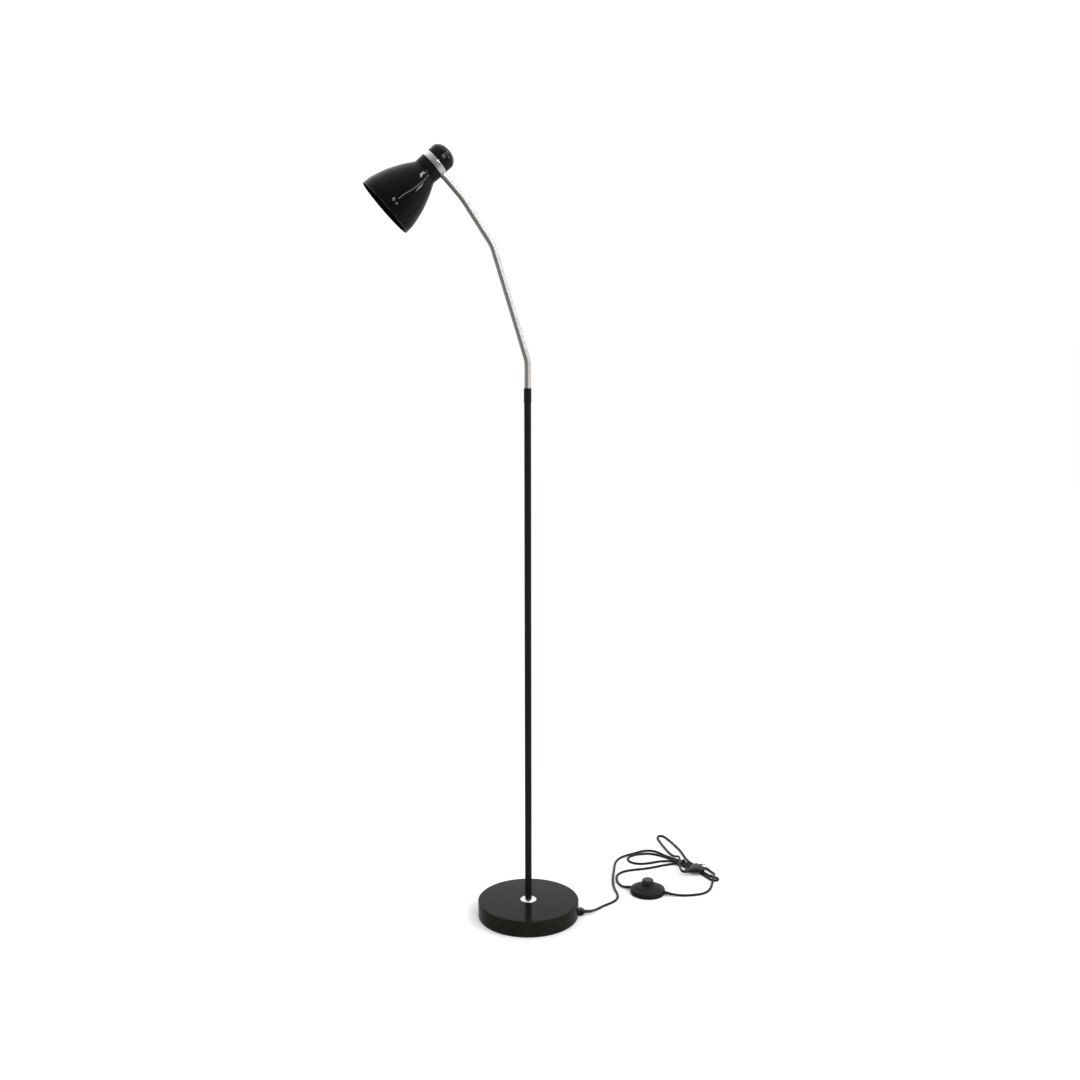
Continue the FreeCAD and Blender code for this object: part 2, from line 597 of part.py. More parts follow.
def cord(name, points):
    """Round cord along straight runs joined by tangent arcs."""
    pts = [V(*p) for p in points]
    edges = []
    last = pts[0]
    radii = []
    length = 0.0
    for i in range(1, len(pts) - 1):
        a = (pts[i - 1] - pts[i])
        b = (pts[i + 1] - pts[i])
        short = min(a.Length, b.Length)
        a.normalize()
        b.normalize()
        turn = math.pi - a.getAngle(b)
        if turn < math.radians(0.4):
            continue
        cut = 0.45 * short
        radius = cut / math.tan(turn / 2)
        radii.append(radius)
        p = pts[i] + a * cut
        q = pts[i] + b * cut
        mid = a + b
        mid.normalize()
        m = pts[i] + mid * (radius / math.cos(turn / 2) - radius)
        if (p - last).Length > 1e-6:
            edges.append(Part.makeLine(last, p))
            length += (p - last).Length
        edges.append(Part.Arc(p, m, q).toShape())
        length += radius * turn
        last = q
    edges.append(Part.makeLine(last, pts[-1]))
    length += (pts[-1] - last).Length
    wire = Part.Wire(edges)
    start = Part.Wire([Part.makeCircle(CORD_D / 2, pts[0], pts[1] - pts[0])])
    solid = wire.makePipeShell([start], True, False)
    want = math.pi * CORD_D ** 2 / 4 * length
    print("cord %s length %.0f least radius %.1f volume ratio %.4f" % (name, length, min(radii),
                                                                      solid.Volume / want))
    put(name, solid)
    return wire


def gaps(wires):
    names = list(wires)
    for i, a in enumerate(names):
        for b in names[i + 1:]:
            d = wires[a].distToShape(wires[b])[0]
            if d > 0.01:
                print("centre distance %s %s %.2f, gap %.2f" % (a, b, d, d - CORD_D))
    for n in names:
        pts = wires[n].discretize(Distance=2.0)
        best = (1e9, None)
        run = [0.0]
        for i in range(1, len(pts)):
            run.append(run[-1] + (pts[i] - pts[i - 1]).Length)
        for i in range(len(pts)):
            for j in range(i + 1, len(pts)):
                if run[j] - run[i] > 25:
                    d = (pts[i] - pts[j]).Length
                    if d < best[0]:
                        best = (d, pts[i])
        print("self gap %s %.2f" % (n, best[0] - CORD_D), best[1])


def make_cords():
    wires = {}
    wires["cord_from_base"] = cord("cord_from_base", route_from_base())
    wires["cord_hank"] = cord("cord_hank", route_hank())
    wires["cord_to_switch"] = cord("cord_to_switch", route_to_switch())
    wires["cord_from_switch"] = cord("cord_from_switch", route_from_switch())
    wires["cord_plug_loop"] = cord("cord_plug_loop", route_plug_loop())
    gaps(wires)


def make_tie():
    """Flat strap round the gathered strands, with its small square head."""
    lo = -2 * LANE_PITCH + bow(TIE_AL) - CORD_D / 2 - 0.3
    hi = LANE_PITCH + bow(TIE_AL) + CORD_D / 2 + 0.3
    half = CORD_D / 2 + 0.15
    z0 = LIFT_Z - half
    z1 = LIFT_Z + half

    def slab(t):
        mid = box(lo + half - 0.3, hi - half + 0.3, -1.8, 1.8, z0 - t, z1 + t)
        a = Part.makeCylinder(half + t, 3.6, V(lo + half - 0.3, -1.8, LIFT_Z), V(0, 1, 0))
        b = Part.makeCylinder(half + t, 3.6, V(hi - half + 0.3, -1.8, LIFT_Z), V(0, 1, 0))
        return mid.fuse(a).fuse(b)

    strap = slab(TIE_T).cut(slab(0.0)).fuse(box(1.5, 6.0, -2.6, 2.6, z1 + TIE_T * 0.5, z1 + 3.4))
    u = math.radians(WAIST_HEADING)
    xdir = V(math.sin(u), -math.cos(u), 0)
    p = waist(TIE_AL, 0.0, 0.0)
    put("cable_tie", move(strap, V(*p), xdir, V(0, 0, 1)))


# ---------------------------------------------------------------- mains plug

def plug_frame(shape):
    """Local X out of the pins, Z up; origin at the centre of the pin face."""
    xdir = V(CT * CH, CT * SH, ST)
    ydir = V(-SH, CH, 0)
    return move(shape, V(FACE_X, FACE_Y, FACE_Z), xdir, xdir.cross(ydir))


def make_plug():
    def outline(x, w, m, t):
        pts = [(w, -1.0), (w, 1.0), (m, t), (-m, t), (-w, 1.0), (-w, -1.0), (-m, -t), (m, -t)]
        pts = [V(x, y, z) for y, z in pts]
        return Part.makePolygon(pts + [pts[0]])

    wires = [outline(0, 17.0, 12.0, 6.2), outline(-7, 17.2, 12.4, 6.2), outline(-13, 14.6, 10.0, 6.0),
             outline(-24, 7.0, 4.6, 5.0), outline(-PLUG_LEN, 4.2, 2.6, 4.0)]
    put("plug_body", plug_frame(Part.makeLoft(wires, True, True)))
    sleeves = []
    tips = []
    for y in (-9.3, 9.3):
        sleeves.append(Part.makeCylinder(2.0, 10.0, V(0, y, 0), V(1, 0, 0)))
        tip = Part.makeCylinder(2.0, 7.8, V(10.0, y, 0), V(1, 0, 0))
        cone = Part.makeCone(2.0, 1.1, 1.2, V(17.8, y, 0), V(1, 0, 0))
        tips.append(tip.fuse(cone))
    put("plug_pin_sleeves", plug_frame(Part.makeCompound(sleeves)))
    put("plug_pin_tips", plug_frame(Part.makeCompound(tips)))


def main():
    make_base()
    make_pole()
    make_neck()
    make_head()
    make_bulb()
    make_switch()
    make_cords()
    make_tie()
    make_plug()
    for name, shape in NODES.items():
        solids = shape.Solids
        ok = all(s.isValid() and s.isClosed() for s in solids)
        bb = shape.BoundBox
        print("%-22s solids %d valid %s vol %.1f  x %.1f..%.1f y %.1f..%.1f z %.1f..%.1f" % (
            name, len(solids), ok, shape.Volume / 1000, bb.XMin, bb.XMax, bb.YMin, bb.YMax, bb.ZMin, bb.ZMax))
        out = solids[0] if len(solids) == 1 else Part.makeCompound(solids)
        out.exportStep("parts/%s.step" % name)


main()
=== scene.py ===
# %% [markdown]
# A gooseneck reading floor lamp, dressed for its picture
#
# The frame already holds every solid of the lamp in its right place. This lesson makes the
# surfaces that a person sees: the turned foot and head, the finely wound gooseneck, the cord
# with its switch and plug, and the finishes. Every shape is worked out with numpy as a whole
# grid of points, because a lamp is nearly all turned parts and tubes, and both are surfaces
# of two parameters.

import math

import bmesh
import bpy
import numpy as np
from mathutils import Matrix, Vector


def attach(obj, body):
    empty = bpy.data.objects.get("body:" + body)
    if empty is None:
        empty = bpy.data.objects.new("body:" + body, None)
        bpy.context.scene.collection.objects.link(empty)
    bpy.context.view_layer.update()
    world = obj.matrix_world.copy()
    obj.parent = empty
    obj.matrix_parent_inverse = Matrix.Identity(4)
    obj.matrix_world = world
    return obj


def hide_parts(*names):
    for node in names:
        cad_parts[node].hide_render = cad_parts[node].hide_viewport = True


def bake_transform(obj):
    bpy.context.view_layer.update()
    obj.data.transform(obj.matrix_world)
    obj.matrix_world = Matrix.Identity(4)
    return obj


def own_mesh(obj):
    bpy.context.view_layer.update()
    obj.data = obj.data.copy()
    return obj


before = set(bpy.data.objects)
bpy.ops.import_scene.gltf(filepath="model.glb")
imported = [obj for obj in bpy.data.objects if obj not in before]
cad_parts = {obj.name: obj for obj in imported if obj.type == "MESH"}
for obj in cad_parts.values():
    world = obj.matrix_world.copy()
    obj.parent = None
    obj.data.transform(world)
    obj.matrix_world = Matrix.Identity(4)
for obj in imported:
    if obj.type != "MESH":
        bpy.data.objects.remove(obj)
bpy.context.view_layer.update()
MM = 0.001
print("pieces in the frame:", len(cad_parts))

# %% [markdown]
# The photograph was taken a little above the height of the pole's top, looking slightly
# down. The camera's place and lens were found from the two ellipses of the foot, so the foot,
# the pole and the cord all fall where they do in the picture. The lamp's neck leans in the XZ
# plane, and the camera looks at that plane from ten degrees to one side.

# %% Camera
VIEW_TURN = math.radians(10.0)
VIEW_PITCH = math.radians(10.11)
CAMERA_PLACE = Vector((-0.4038, -2.4166, 1.1604))
LOOK = Vector((math.sin(VIEW_TURN) * math.cos(VIEW_PITCH),
               math.cos(VIEW_TURN) * math.cos(VIEW_PITCH),
               -math.sin(VIEW_PITCH)))

camera_data = bpy.data.cameras.new("camera")
camera_data.lens = 45.9
camera_data.sensor_width = 36.0
camera_data.sensor_fit = "HORIZONTAL"
camera_data.clip_end = 60.0
camera = bpy.data.objects.new("camera", camera_data)
bpy.context.scene.collection.objects.link(camera)
camera.location = CAMERA_PLACE
camera.rotation_mode = "QUATERNION"
camera.rotation_quaternion = LOOK.to_track_quat("-Z", "Y")
bpy.context.scene.camera = camera
bpy.context.scene.view_settings.view_transform = "Standard"
print("camera at", tuple(round(c, 3) for c in camera.location))

# %% [markdown]
# Every new piece goes through one helper that takes a grid of points and joins neighbours
# into four-sided faces. A ring of points that closes on itself is wrapped, so that it has no
# seam. Sharp edges are marked by angle, so that round parts shade smoothly and lips stay crisp.


# %% Grid to mesh
def linked(name, data):
    """A new object of the scene from its data."""
    made = bpy.data.objects.new(name, data)
    bpy.context.scene.collection.objects.link(made)
    return made


def grid_piece(name, points, wrap_u=False, wrap_v=False, sharp=35.0, caps=False):
    """points[i, j] is a place in metres. Rows i and columns j are joined to the next row and
    column, and to the first ones where that way wraps. Faces turn outwards when j runs
    anticlockwise seen from the end that rows i come from."""
    nu, nv = points.shape[:2]
    iu = np.arange(nu if wrap_u else nu - 1)
    jv = np.arange(nv if wrap_v else nv - 1)
    i, j = np.meshgrid(iu, jv, indexing="ij")
    i2, j2 = (i + 1) % nu, (j + 1) % nv
    quads = np.stack([i * nv + j, i * nv + j2, i2 * nv + j2, i2 * nv + j], axis=-1)
    mesh = bpy.data.meshes.new(name)
    faces = [tuple(q) for q in quads.reshape(-1, 4).tolist()]
    if caps:
        faces.append(tuple(range(nv))[::-1])
        faces.append(tuple(range((nu - 1) * nv, nu * nv)))
    mesh.from_pydata(points.reshape(-1, 3).tolist(), [], faces)
    work = bmesh.new()
    work.from_mesh(mesh)
    bmesh.ops.remove_doubles(work, verts=work.verts, dist=1e-7)
    work.to_mesh(mesh)
    work.free()
    mesh.shade_smooth()
    mesh.set_sharp_from_angle(angle=math.radians(sharp))
    return linked(name, mesh)


def joined(name, pieces):
    """One mesh object from several, each with its place already in its mesh."""
    work = bmesh.new()
    for piece in pieces:
        work.from_mesh(piece.data)
        bpy.data.objects.remove(piece)
    mesh = bpy.data.meshes.new(name)
    work.to_mesh(mesh)
    work.free()
    mesh.shade_smooth()
    mesh.set_sharp_from_angle(angle=math.radians(35.0))
    return linked(name, mesh)


# %% [markdown]
# A turned part is its half section carried round an axis. The corners of the section are
# rounded first, as a lathe tool or a press would leave them: each corner becomes a short
# curve whose ends lie on the two edges. A place is an origin and three directions, so the same
# helper turns parts on the pole, on the foot switch and on the tilted head.


# %% Turned parts
def softened(corners, radius, steps=4):
    """Each corner is replaced by a quadratic curve from one edge to the next. The curve
    starts and ends at radius from the corner, or at 0.45 of the shorter edge."""
    pts = np.array(corners, float)
    radii = np.broadcast_to(np.array(radius, float), (len(pts),))
    out = []
    for k in range(len(pts)):
        before, here, after = pts[k - 1], pts[k], pts[(k + 1) % len(pts)]
        on_axis = here[0] < 1e-6
        a, b = before - here, after - here
        la, lb = np.linalg.norm(a), np.linalg.norm(b)
        r = min(radii[k], 0.45 * la, 0.45 * lb)
        if on_axis or r < 1e-3:
            out.append(here[None])
            continue
        t = np.linspace(0, 1, steps + 1)[:, None]
        p, q = here + a / la * r, here + b / lb * r
        out.append((1 - t) ** 2 * p + 2 * t * (1 - t) * here + t ** 2 * q)
    return np.concatenate(out)


FLOOR_PLACE = (np.zeros(3), np.eye(3))


def placed(local, place):
    """Points in metres from points in mm along the three directions of a place."""
    origin, axes = place
    return (origin + local @ axes) * MM


def ring(sides):
    """Evenly spread angles round a whole turn."""
    return np.linspace(0, 2 * np.pi, sides, endpoint=False)


def turned(name, section, place=FLOOR_PLACE, sides=160):
    """section is a closed loop of (radius, height) in mm. Point (r, h) at angle a goes to
    origin + r cos a X + r sin a Y + h Z, where X, Y and Z are the place's directions."""
    loop = np.array(section, float)
    r, h = loop[:, 0], loop[:, 1]
    area = 0.5 * np.sum(r * np.roll(h, -1) - np.roll(r, -1) * h)
    if area < 0:
        r, h = r[::-1], h[::-1]
    a = ring(sides)
    local = np.stack([np.outer(r, np.cos(a)), np.outer(r, np.sin(a)),
                      np.repeat(h[:, None], sides, axis=1)], axis=-1)
    return grid_piece(name, placed(local, place), wrap_u=True, wrap_v=True)


# %% [markdown]
# The gooseneck's centre line is a chain of straight lengths and gentle bends, as someone's
# hands left it. Its place and tilt at any distance are added up from those lengths, and the
# same line gives the head its place at the far end.

# %% Neck line
SLEEVE_TOP = 997.0
NECK_PATH = [(41.0, 0), (13.0, 17), (192.2, 0), (20.0, 16), (72.1, 0), (24.0, 8), (31.7, 0)]
NECK_LENGTH = sum(length for length, turn in NECK_PATH)


def neck_line(s):
    """Place (mm) and tilt from upright (radians) at distances s. The tilt is a chain of ramps,
    and the place is the running sum of (-sin tilt, cos tilt)."""
    knots = np.cumsum([0.0] + [length for length, turn in NECK_PATH])
    tilts = np.radians(np.cumsum([0.0] + [turn for length, turn in NECK_PATH]))
    fine = np.linspace(0.0, NECK_LENGTH, 8001)
    tilt = np.interp(fine, knots, tilts)
    middle = 0.5 * (tilt[1:] + tilt[:-1])
    step = fine[1] - fine[0]
    x = np.concatenate([[0.0], np.cumsum(-np.sin(middle) * step)])
    z = SLEEVE_TOP + np.concatenate([[0.0], np.cumsum(np.cos(middle) * step)])
    s = np.asarray(s, float)
    place = np.stack([np.interp(s, fine, x), 0 * s, np.interp(s, fine, z)], -1)
    return place, np.interp(s, fine, tilt)


HEAD_TILT = math.radians(41.0)
BAND_R = 24.8
FERRULE_LENGTH = 6.0
MOUTH_TO_NECK = 113.0
neck_end, neck_end_tilt = neck_line([NECK_LENGTH])
AXIS = np.array([math.cos(HEAD_TILT), 0.0, math.sin(HEAD_TILT)])
SIDE = np.array([math.sin(HEAD_TILT), 0.0, -math.cos(HEAD_TILT)])
MOUTH = neck_end[0] - SIDE * (BAND_R + FERRULE_LENGTH) - AXIS * MOUTH_TO_NECK
HEAD_PLACE = (MOUTH, np.array([SIDE, [0.0, 1.0, 0.0], AXIS]))
print("neck ends at", neck_end[0].round(1), "mouth centre at", MOUTH.round(1))

# %% [markdown]
# Several finishes share the same small effects. Fine grain gives moulded plastic and lacquer
# their slight unevenness, and handling haze makes a gloss surface duller in soft patches where
# hands and dust have been. Both are node groups that give out a value, and each finish uses
# them with its own scale.


# %% Shared effects
def new_group(name, inputs, outputs):
    """An empty shader group with number inputs {name: value} and named number outputs."""
    group = bpy.data.node_groups.new(name, "ShaderNodeTree")
    for key, value in inputs.items():
        socket = group.interface.new_socket(key, in_out="INPUT", socket_type="NodeSocketFloat")
        socket.default_value = value
    for key in outputs:
        group.interface.new_socket(key, in_out="OUTPUT", socket_type="NodeSocketFloat")
    return group, group.nodes.new("NodeGroupInput"), group.nodes.new("NodeGroupOutput")


def fill(made, values):
    """Sets the inputs {socket: value} of a node that no link reaches."""
    for key, value in values.items():
        made.inputs[key].default_value = value


def node(tree, kind, values=None, **settings):
    """A new shader node with its settings and the values of its inputs."""
    made = tree.nodes.new("ShaderNode" + kind)
    for key, value in settings.items():
        setattr(made, key, value)
    fill(made, values or {})
    return made


def wire(tree, *links):
    """Joins sockets. Each link is (from node, its output, to node, its input)."""
    for start, out, end, into in links:
        tree.links.new(start.outputs[out], end.inputs[into])


grain, g_in, g_out = new_group("fine_grain", {"Scale": 400.0, "Detail": 3.0}, ["Height"])
coords = node(grain, "TexCoord")
noise = node(grain, "TexNoise", {"Roughness": 0.65})
wire(grain, (coords, "Object", noise, "Vector"), (g_in, "Scale", noise, "Scale"),
     (g_in, "Detail", noise, "Detail"), (noise, "Fac", g_out, "Height"))

haze, h_in, h_out = new_group("handling_haze", {"Scale": 14.0, "Clean": 0.08, "Dull": 0.2},
                              ["Roughness", "Mask"])
coords = node(haze, "TexCoord")
broad = node(haze, "TexNoise", {"Detail": 6.0, "Roughness": 0.62})
specks = node(haze, "TexNoise", {"Scale": 900.0, "Detail": 2.0})
both = node(haze, "Math", operation="MULTIPLY")
spread = node(haze, "MapRange", {"From Min": 0.16, "From Max": 0.42})
wire(haze, (coords, "Object", broad, "Vector"), (coords, "Object", specks, "Vector"),
     (h_in, "Scale", broad, "Scale"), (broad, "Fac", both, 0), (specks, "Fac", both, 1),
     (both, "Value", spread, "Value"), (h_in, "Clean", spread, "To Min"),
     (h_in, "Dull", spread, "To Max"), (spread, "Result", h_out, "Roughness"),
     (both, "Value", h_out, "Mask"))
print("effects:", grain.name, haze.name)


# %% [markdown]
# Most finishes of this lamp are one recipe with different numbers. Two close tones drift into
# each other with the haze, the same haze makes the gloss uneven, and the grain is a bump a few
# hundredths of a millimetre deep. One function keeps the recipe in a single place, so each
# finish after it is only a line or two of real choices.

# %% A finish from the shared effects
def new_material(name):
    """A plain material, its node tree and its shader."""
    material = bpy.data.materials.new(name)
    material.use_nodes = True
    return material, material.node_tree, material.node_tree.nodes["Principled BSDF"]


def finish(name, colour, second, clean, dull, grain_scale, grain_depth, haze_scale=14.0,
           metallic=0.0, specular=0.5, more=None):
    """A finish whose colour drifts between two close tones and whose gloss goes from clean to
    dull with the haze. The grain is a bump of grain_depth metres."""
    material, tree, shader = new_material(name)
    fill(shader, {"Metallic": metallic, "Specular IOR Level": specular, **(more or {})})
    wear = node(tree, "Group", {"Scale": haze_scale, "Clean": clean, "Dull": dull}, node_tree=haze)
    tones = node(tree, "Mix", {"A": (*colour, 1.0), "B": (*second, 1.0)}, data_type="RGBA")
    fine = node(tree, "Group", {"Scale": grain_scale}, node_tree=grain)
    bump = node(tree, "Bump", {"Strength": 1.0, "Distance": grain_depth})
    wire(tree, (wear, "Mask", tones, "Factor"), (tones, "Result", shader, "Base Color"),
         (wear, "Roughness", shader, "Roughness"), (fine, "Height", bump, "Height"),
         (bump, "Normal", shader, "Normal"))
    return material


cord_sheath = finish("cord_sheath", (0.0045, 0.004, 0.0035), (0.011, 0.010, 0.0088), 0.36, 0.52,
                     900, 3e-5, specular=0.25, haze_scale=40.0)
print("finish helper ready")

# %% [markdown]
# The shade, cap and pole are lacquered: a deep black coat, very smooth, with a little orange
# peel and some haze where it has been touched. The plain black plastics are duller and have
# the grain of their moulds.

# %% Black finishes
black_enamel = finish("black_enamel", (0.0012, 0.0016, 0.0014), (0.0032, 0.0042, 0.0036), 0.035,
                      0.10, 190, 1.2e-5, specular=0.15)
pole_enamel = finish("pole_enamel", (0.0070, 0.0075, 0.0080), (0.0120, 0.0125, 0.0125), 0.08, 0.20,
                     230, 1.5e-5, specular=0.12)
cap_gloss = finish("cap_gloss", (0.0018, 0.0022, 0.0024), (0.0050, 0.0055, 0.0058), 0.05, 0.14,
                   240, 1.5e-5, specular=0.22)
satin_black = finish("satin_black", (0.005, 0.005, 0.0055), (0.012, 0.012, 0.0125), 0.30, 0.46,
                     1500, 2e-5, specular=0.3)
inner_black = finish("inner_black", (0.006, 0.006, 0.006), (0.014, 0.013, 0.012), 0.25, 0.4, 400,
                     2e-5)
switch_moulding = finish("switch_moulding", (0.0055, 0.006, 0.006), (0.0135, 0.014, 0.014), 0.36,
                         0.55,
                         1700, 4e-5, specular=0.15)
button_moulding = finish("button_moulding", (0.0050, 0.0042, 0.0032), (0.0120, 0.0102, 0.0080),
                         0.42,
                         0.6, 1500, 4e-5)
plug_moulding = finish("plug_moulding", (0.005, 0.005, 0.0055), (0.013, 0.013, 0.0135), 0.24, 0.42,
                       1400, 3e-5, specular=0.35)
print("black finishes made")

# %% [markdown]
# The top of the push button is where shoes press, and it is painted a little lighter there: painted
# light, standing in for light falling on it from above. It fades out over the rounded edge. Height
# in the piece's own coordinates says where the painted light starts, and a noise breaks it up, so
# the sides stay as dark as they were moulded.

# %% Painted light on the button top
tree = button_moulding.node_tree
shader = tree.nodes["Principled BSDF"]
tones = shader.inputs["Base Color"].links[0].from_node
where = node(tree, "TexCoord")
upright = node(tree, "SeparateXYZ")
level = node(tree, "MapRange", {"From Min": 0.0268, "From Max": 0.0288},
             interpolation_type="SMOOTHSTEP")
patches = node(tree, "TexNoise", {"Scale": 260.0, "Detail": 5.0})
top_light_mask = node(tree, "Math", operation="MULTIPLY")
# painted light: a paler colour laid on the button's top for light falling from above
painted_light = node(tree, "Mix", {"B": (0.060, 0.052, 0.045, 1)}, data_type="RGBA")
wire(tree, (where, "Object", upright, "Vector"), (upright, "Z", level, "Value"),
     (where, "Object", patches, "Vector"), (level, "Result", top_light_mask, 0), (patches, "Fac", top_light_mask, 1),
     (top_light_mask, "Value", painted_light, "Factor"), (tones, "Result", painted_light, "A"),
     (painted_light, "Result", shader, "Base Color"))
print("scuffed top on:", button_moulding.name)

# %% [markdown]
# Bright parts are plated or polished metal. Chrome is almost a mirror, with fingerprints that
# blur it in places; the gooseneck is duller steel with a trace of warmth, and the hidden
# hardware is plain zinc or brass.

# %% Metals
bright_chrome = finish("bright_chrome", (0.90, 0.90, 0.90), (0.80, 0.79, 0.78), 0.06, 0.2, 500,
                       4e-6,
                       metallic=1.0)
satin_nickel = finish("satin_nickel", (0.86, 0.86, 0.85), (0.74, 0.73, 0.71), 0.24, 0.4, 600, 8e-6,
                      metallic=1.0)
neck_steel = finish("neck_steel", (0.62, 0.60, 0.58), (0.46, 0.43, 0.40), 0.30, 0.42, 700, 1e-5,
                    metallic=1.0, haze_scale=30.0)
zinc_plate = finish("zinc_plate", (0.55, 0.55, 0.56), (0.42, 0.42, 0.41), 0.28, 0.5, 700, 1e-5,
                    metallic=1.0)
brass_sheet = finish("brass_sheet", (0.72, 0.51, 0.24), (0.58, 0.38, 0.16), 0.2, 0.42, 600, 1e-5,
                     metallic=1.0)
pressed_cap = finish("pressed_cap", (0.78, 0.78, 0.78), (0.62, 0.62, 0.61), 0.22, 0.42, 600, 1e-5,
                     metallic=1.0)
print("metals made")

# %% [markdown]
# The foot is black stone, cut and polished. Close to, its face is full of tiny paler grains of
# several sizes, and the polish leaves each grain a slightly different gloss. Two noises of
# different size are cut at a level, so that only their peaks show as grains.


# %% Stone grains
stone_group, s_in, s_out = new_group("stone_grains", {"Fine": 1400.0, "Coarse": 420.0},
                                     ["Grains", "Clouds"])
coords = node(stone_group, "TexCoord")
peaks = node(stone_group, "Math", operation="MAXIMUM")
for side, (size, low, high) in enumerate((("Fine", 0.60, 0.72), ("Coarse", 0.66, 0.74))):
    noise = node(stone_group, "TexNoise", {"Detail": 1.5})
    cut = node(stone_group, "MapRange", {"From Min": low, "From Max": high},
               interpolation_type="SMOOTHSTEP")
    wire(stone_group, (coords, "Object", noise, "Vector"), (s_in, size, noise, "Scale"),
         (noise, "Fac", cut, "Value"), (cut, "Result", peaks, side))
clouds = node(stone_group, "TexNoise", {"Scale": 45.0, "Detail": 5.0})
wire(stone_group, (coords, "Object", clouds, "Vector"), (peaks, "Value", s_out, "Grains"),
     (clouds, "Fac", s_out, "Clouds"))
print("stone effect:", stone_group.name)

# %% [markdown]
# The stone's own finish joins those effects: clouds move the ground between two dark tones, the
# grains are a little paler and duller, and each sits a few thousandths of a millimetre below the
# polished face. The polish is kept low in reflection, because the real foot mirrors the pole
# darkly.

# %% Polished stone
polished_stone, tree, shader = new_material("polished_stone")
fill(shader, {"Specular IOR Level": 0.07})
grains = node(tree, "Group", node_tree=stone_group)
ground = node(tree, "Mix", {"A": (0.0048, 0.0054, 0.0038, 1), "B": (0.0088, 0.0096, 0.0070, 1)},
              data_type="RGBA")
flecked = node(tree, "Mix", {"B": (0.055, 0.055, 0.046, 1)}, data_type="RGBA")
gloss = node(tree, "MapRange", {"To Min": 0.12, "To Max": 0.22})
relief_bump = node(tree, "Bump", {"Distance": 4e-6}, invert=True)
wire(tree, (grains, "Clouds", ground, "Factor"), (ground, "Result", flecked, "A"),
     (grains, "Grains", flecked, "Factor"), (flecked, "Result", shader, "Base Color"),
     (grains, "Grains", gloss, "Value"), (gloss, "Result", shader, "Roughness"),
     (grains, "Grains", relief_bump, "Height"), (relief_bump, "Normal", shader, "Normal"))
print("stone finish:", polished_stone.name)

# %% [markdown]
# The lamp's glass is opal: white, with light passing a little way in. The felt under the foot
# is matt with short fibres, and the pins of the plug are bare plated brass.

# %% Glass, felt and pins
opal_glass = finish("opal_glass", (0.80, 0.80, 0.78), (0.70, 0.70, 0.67), 0.08, 0.2, 300, 4e-6,
                    more={"Coat Weight": 0.3, "Coat Roughness": 0.04, "Subsurface Weight": 0.3,
                          "Subsurface Scale": 0.004})
felt = finish("felt", (0.012, 0.012, 0.013), (0.05, 0.05, 0.05), 0.92, 1.0, 2600, 3e-4,
              specular=0.1,
              more={"Sheen Weight": 0.5})
pin_metal = finish("pin_metal", (0.83, 0.82, 0.79), (0.70, 0.68, 0.63), 0.14, 0.3, 600, 5e-6,
                   metallic=1.0)
grey_moulding = finish("grey_moulding", (0.42, 0.42, 0.40), (0.33, 0.33, 0.31), 0.4, 0.6, 1200,
                       3e-5)
tie_nylon = finish("tie_nylon", (0.008, 0.008, 0.008), (0.018, 0.018, 0.018), 0.28, 0.42, 1200,
                   2e-5)
print("small finishes made")

# %% [markdown]
# Hidden hardware keeps the shape it has in the frame: nuts, washers, the threaded rods, the
# lamp holder and the works of the switch. Only its finish is set here.

# %% Finish of the hidden hardware
HARDWARE = [
    (felt, ["base_felt_pad"]), (pressed_cap, ["bulb_cap"]), (grey_moulding, ["switch_module"]),
    (inner_black, ["shade_ring_nut", "lamp_holder"]), (brass_sheet,
                                                       ["holder_sleeve", "holder_contact"]),
    (zinc_plate, ["base_washer", "base_nut", "base_threaded_rod", "pole_foot_insert",
                  "holder_bracket",
                  "bracket_screws", "holder_nipple", "holder_nut", "neck_nipple", "neck_locknut",
                  "switch_screws"]),
]
for material, names in HARDWARE:
    for name in names:
        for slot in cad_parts[name].material_slots:
            slot.material = material
    print(material.name, "on", len(names))

# %% [markdown]
# The cord is one round lead that lies on the floor: out of the foot, gathered into a small
# hank with two loops, on to the foot switch, back to the gathered middle, round one long
# narrow loop, and over the bundle into the plug. It is a smooth curve through a few chosen
# points, because a soft lead never turns a sharp corner.

# %% Cord route
CORD_D = 4.5
OUTLET_HEADING = -9.0
OUTLET_END = 105.5
SWITCH_X, SWITCH_Y, SWITCH_R, SWITCH_HEADING = 247.6, 57.0, 34.0, -30.0
LANE_PITCH = 5.2
ON_FLOOR = CORD_D / 2 + 0.05
TIE_T = 0.9
TIE_AT = 26.0
WAIST_X, WAIST_Y, WAIST_HEADING = 366.0, 156.0, 122.0
OVER = ON_FLOOR + 2 * CORD_D
IN_TIE = CORD_D / 2 + TIE_T + 0.15
PLUG_HEADING, PLUG_TILT, PLUG_LENGTH = math.radians(18.0), math.radians(3.0), 31.0
PLUG_FACE = np.array([377.2, 132.2, 11.1])
PLUG_AXIS = np.array([math.cos(PLUG_TILT) * math.cos(PLUG_HEADING),
                      math.cos(PLUG_TILT) * math.sin(PLUG_HEADING), math.sin(PLUG_TILT)])
PLUG_REAR = PLUG_FACE - PLUG_LENGTH * PLUG_AXIS


def waist(along, across, z=ON_FLOOR):
    """A place in the gathered middle, from distances along and across its direction."""
    u = math.radians(WAIST_HEADING)
    return (WAIST_X + along * math.cos(u) + across * math.sin(u),
            WAIST_Y + along * math.sin(u) - across * math.cos(u), z)


def bow(along):
    return 2.4 * math.cos(math.radians(along * 1.7)) - 1.2


def lane(k, stations):
    """Points of the k-th strand in the bundle, lifted where the tie passes under it."""
    return [waist(al, k * LANE_PITCH + bow(al), IN_TIE if abs(al - TIE_AT) < 10 else ON_FLOOR)
            for al in stations]


def fold(along, across, radius):
    """Points round a tight turn in the bundle, on a circle a little larger than the turn."""
    a = np.radians(np.linspace(60, 300, 6))
    r = radius / math.cos((a[1] - a[0]) / 2)
    return [waist(along + r * math.cos(t), across + r * math.sin(t)) for t in a]


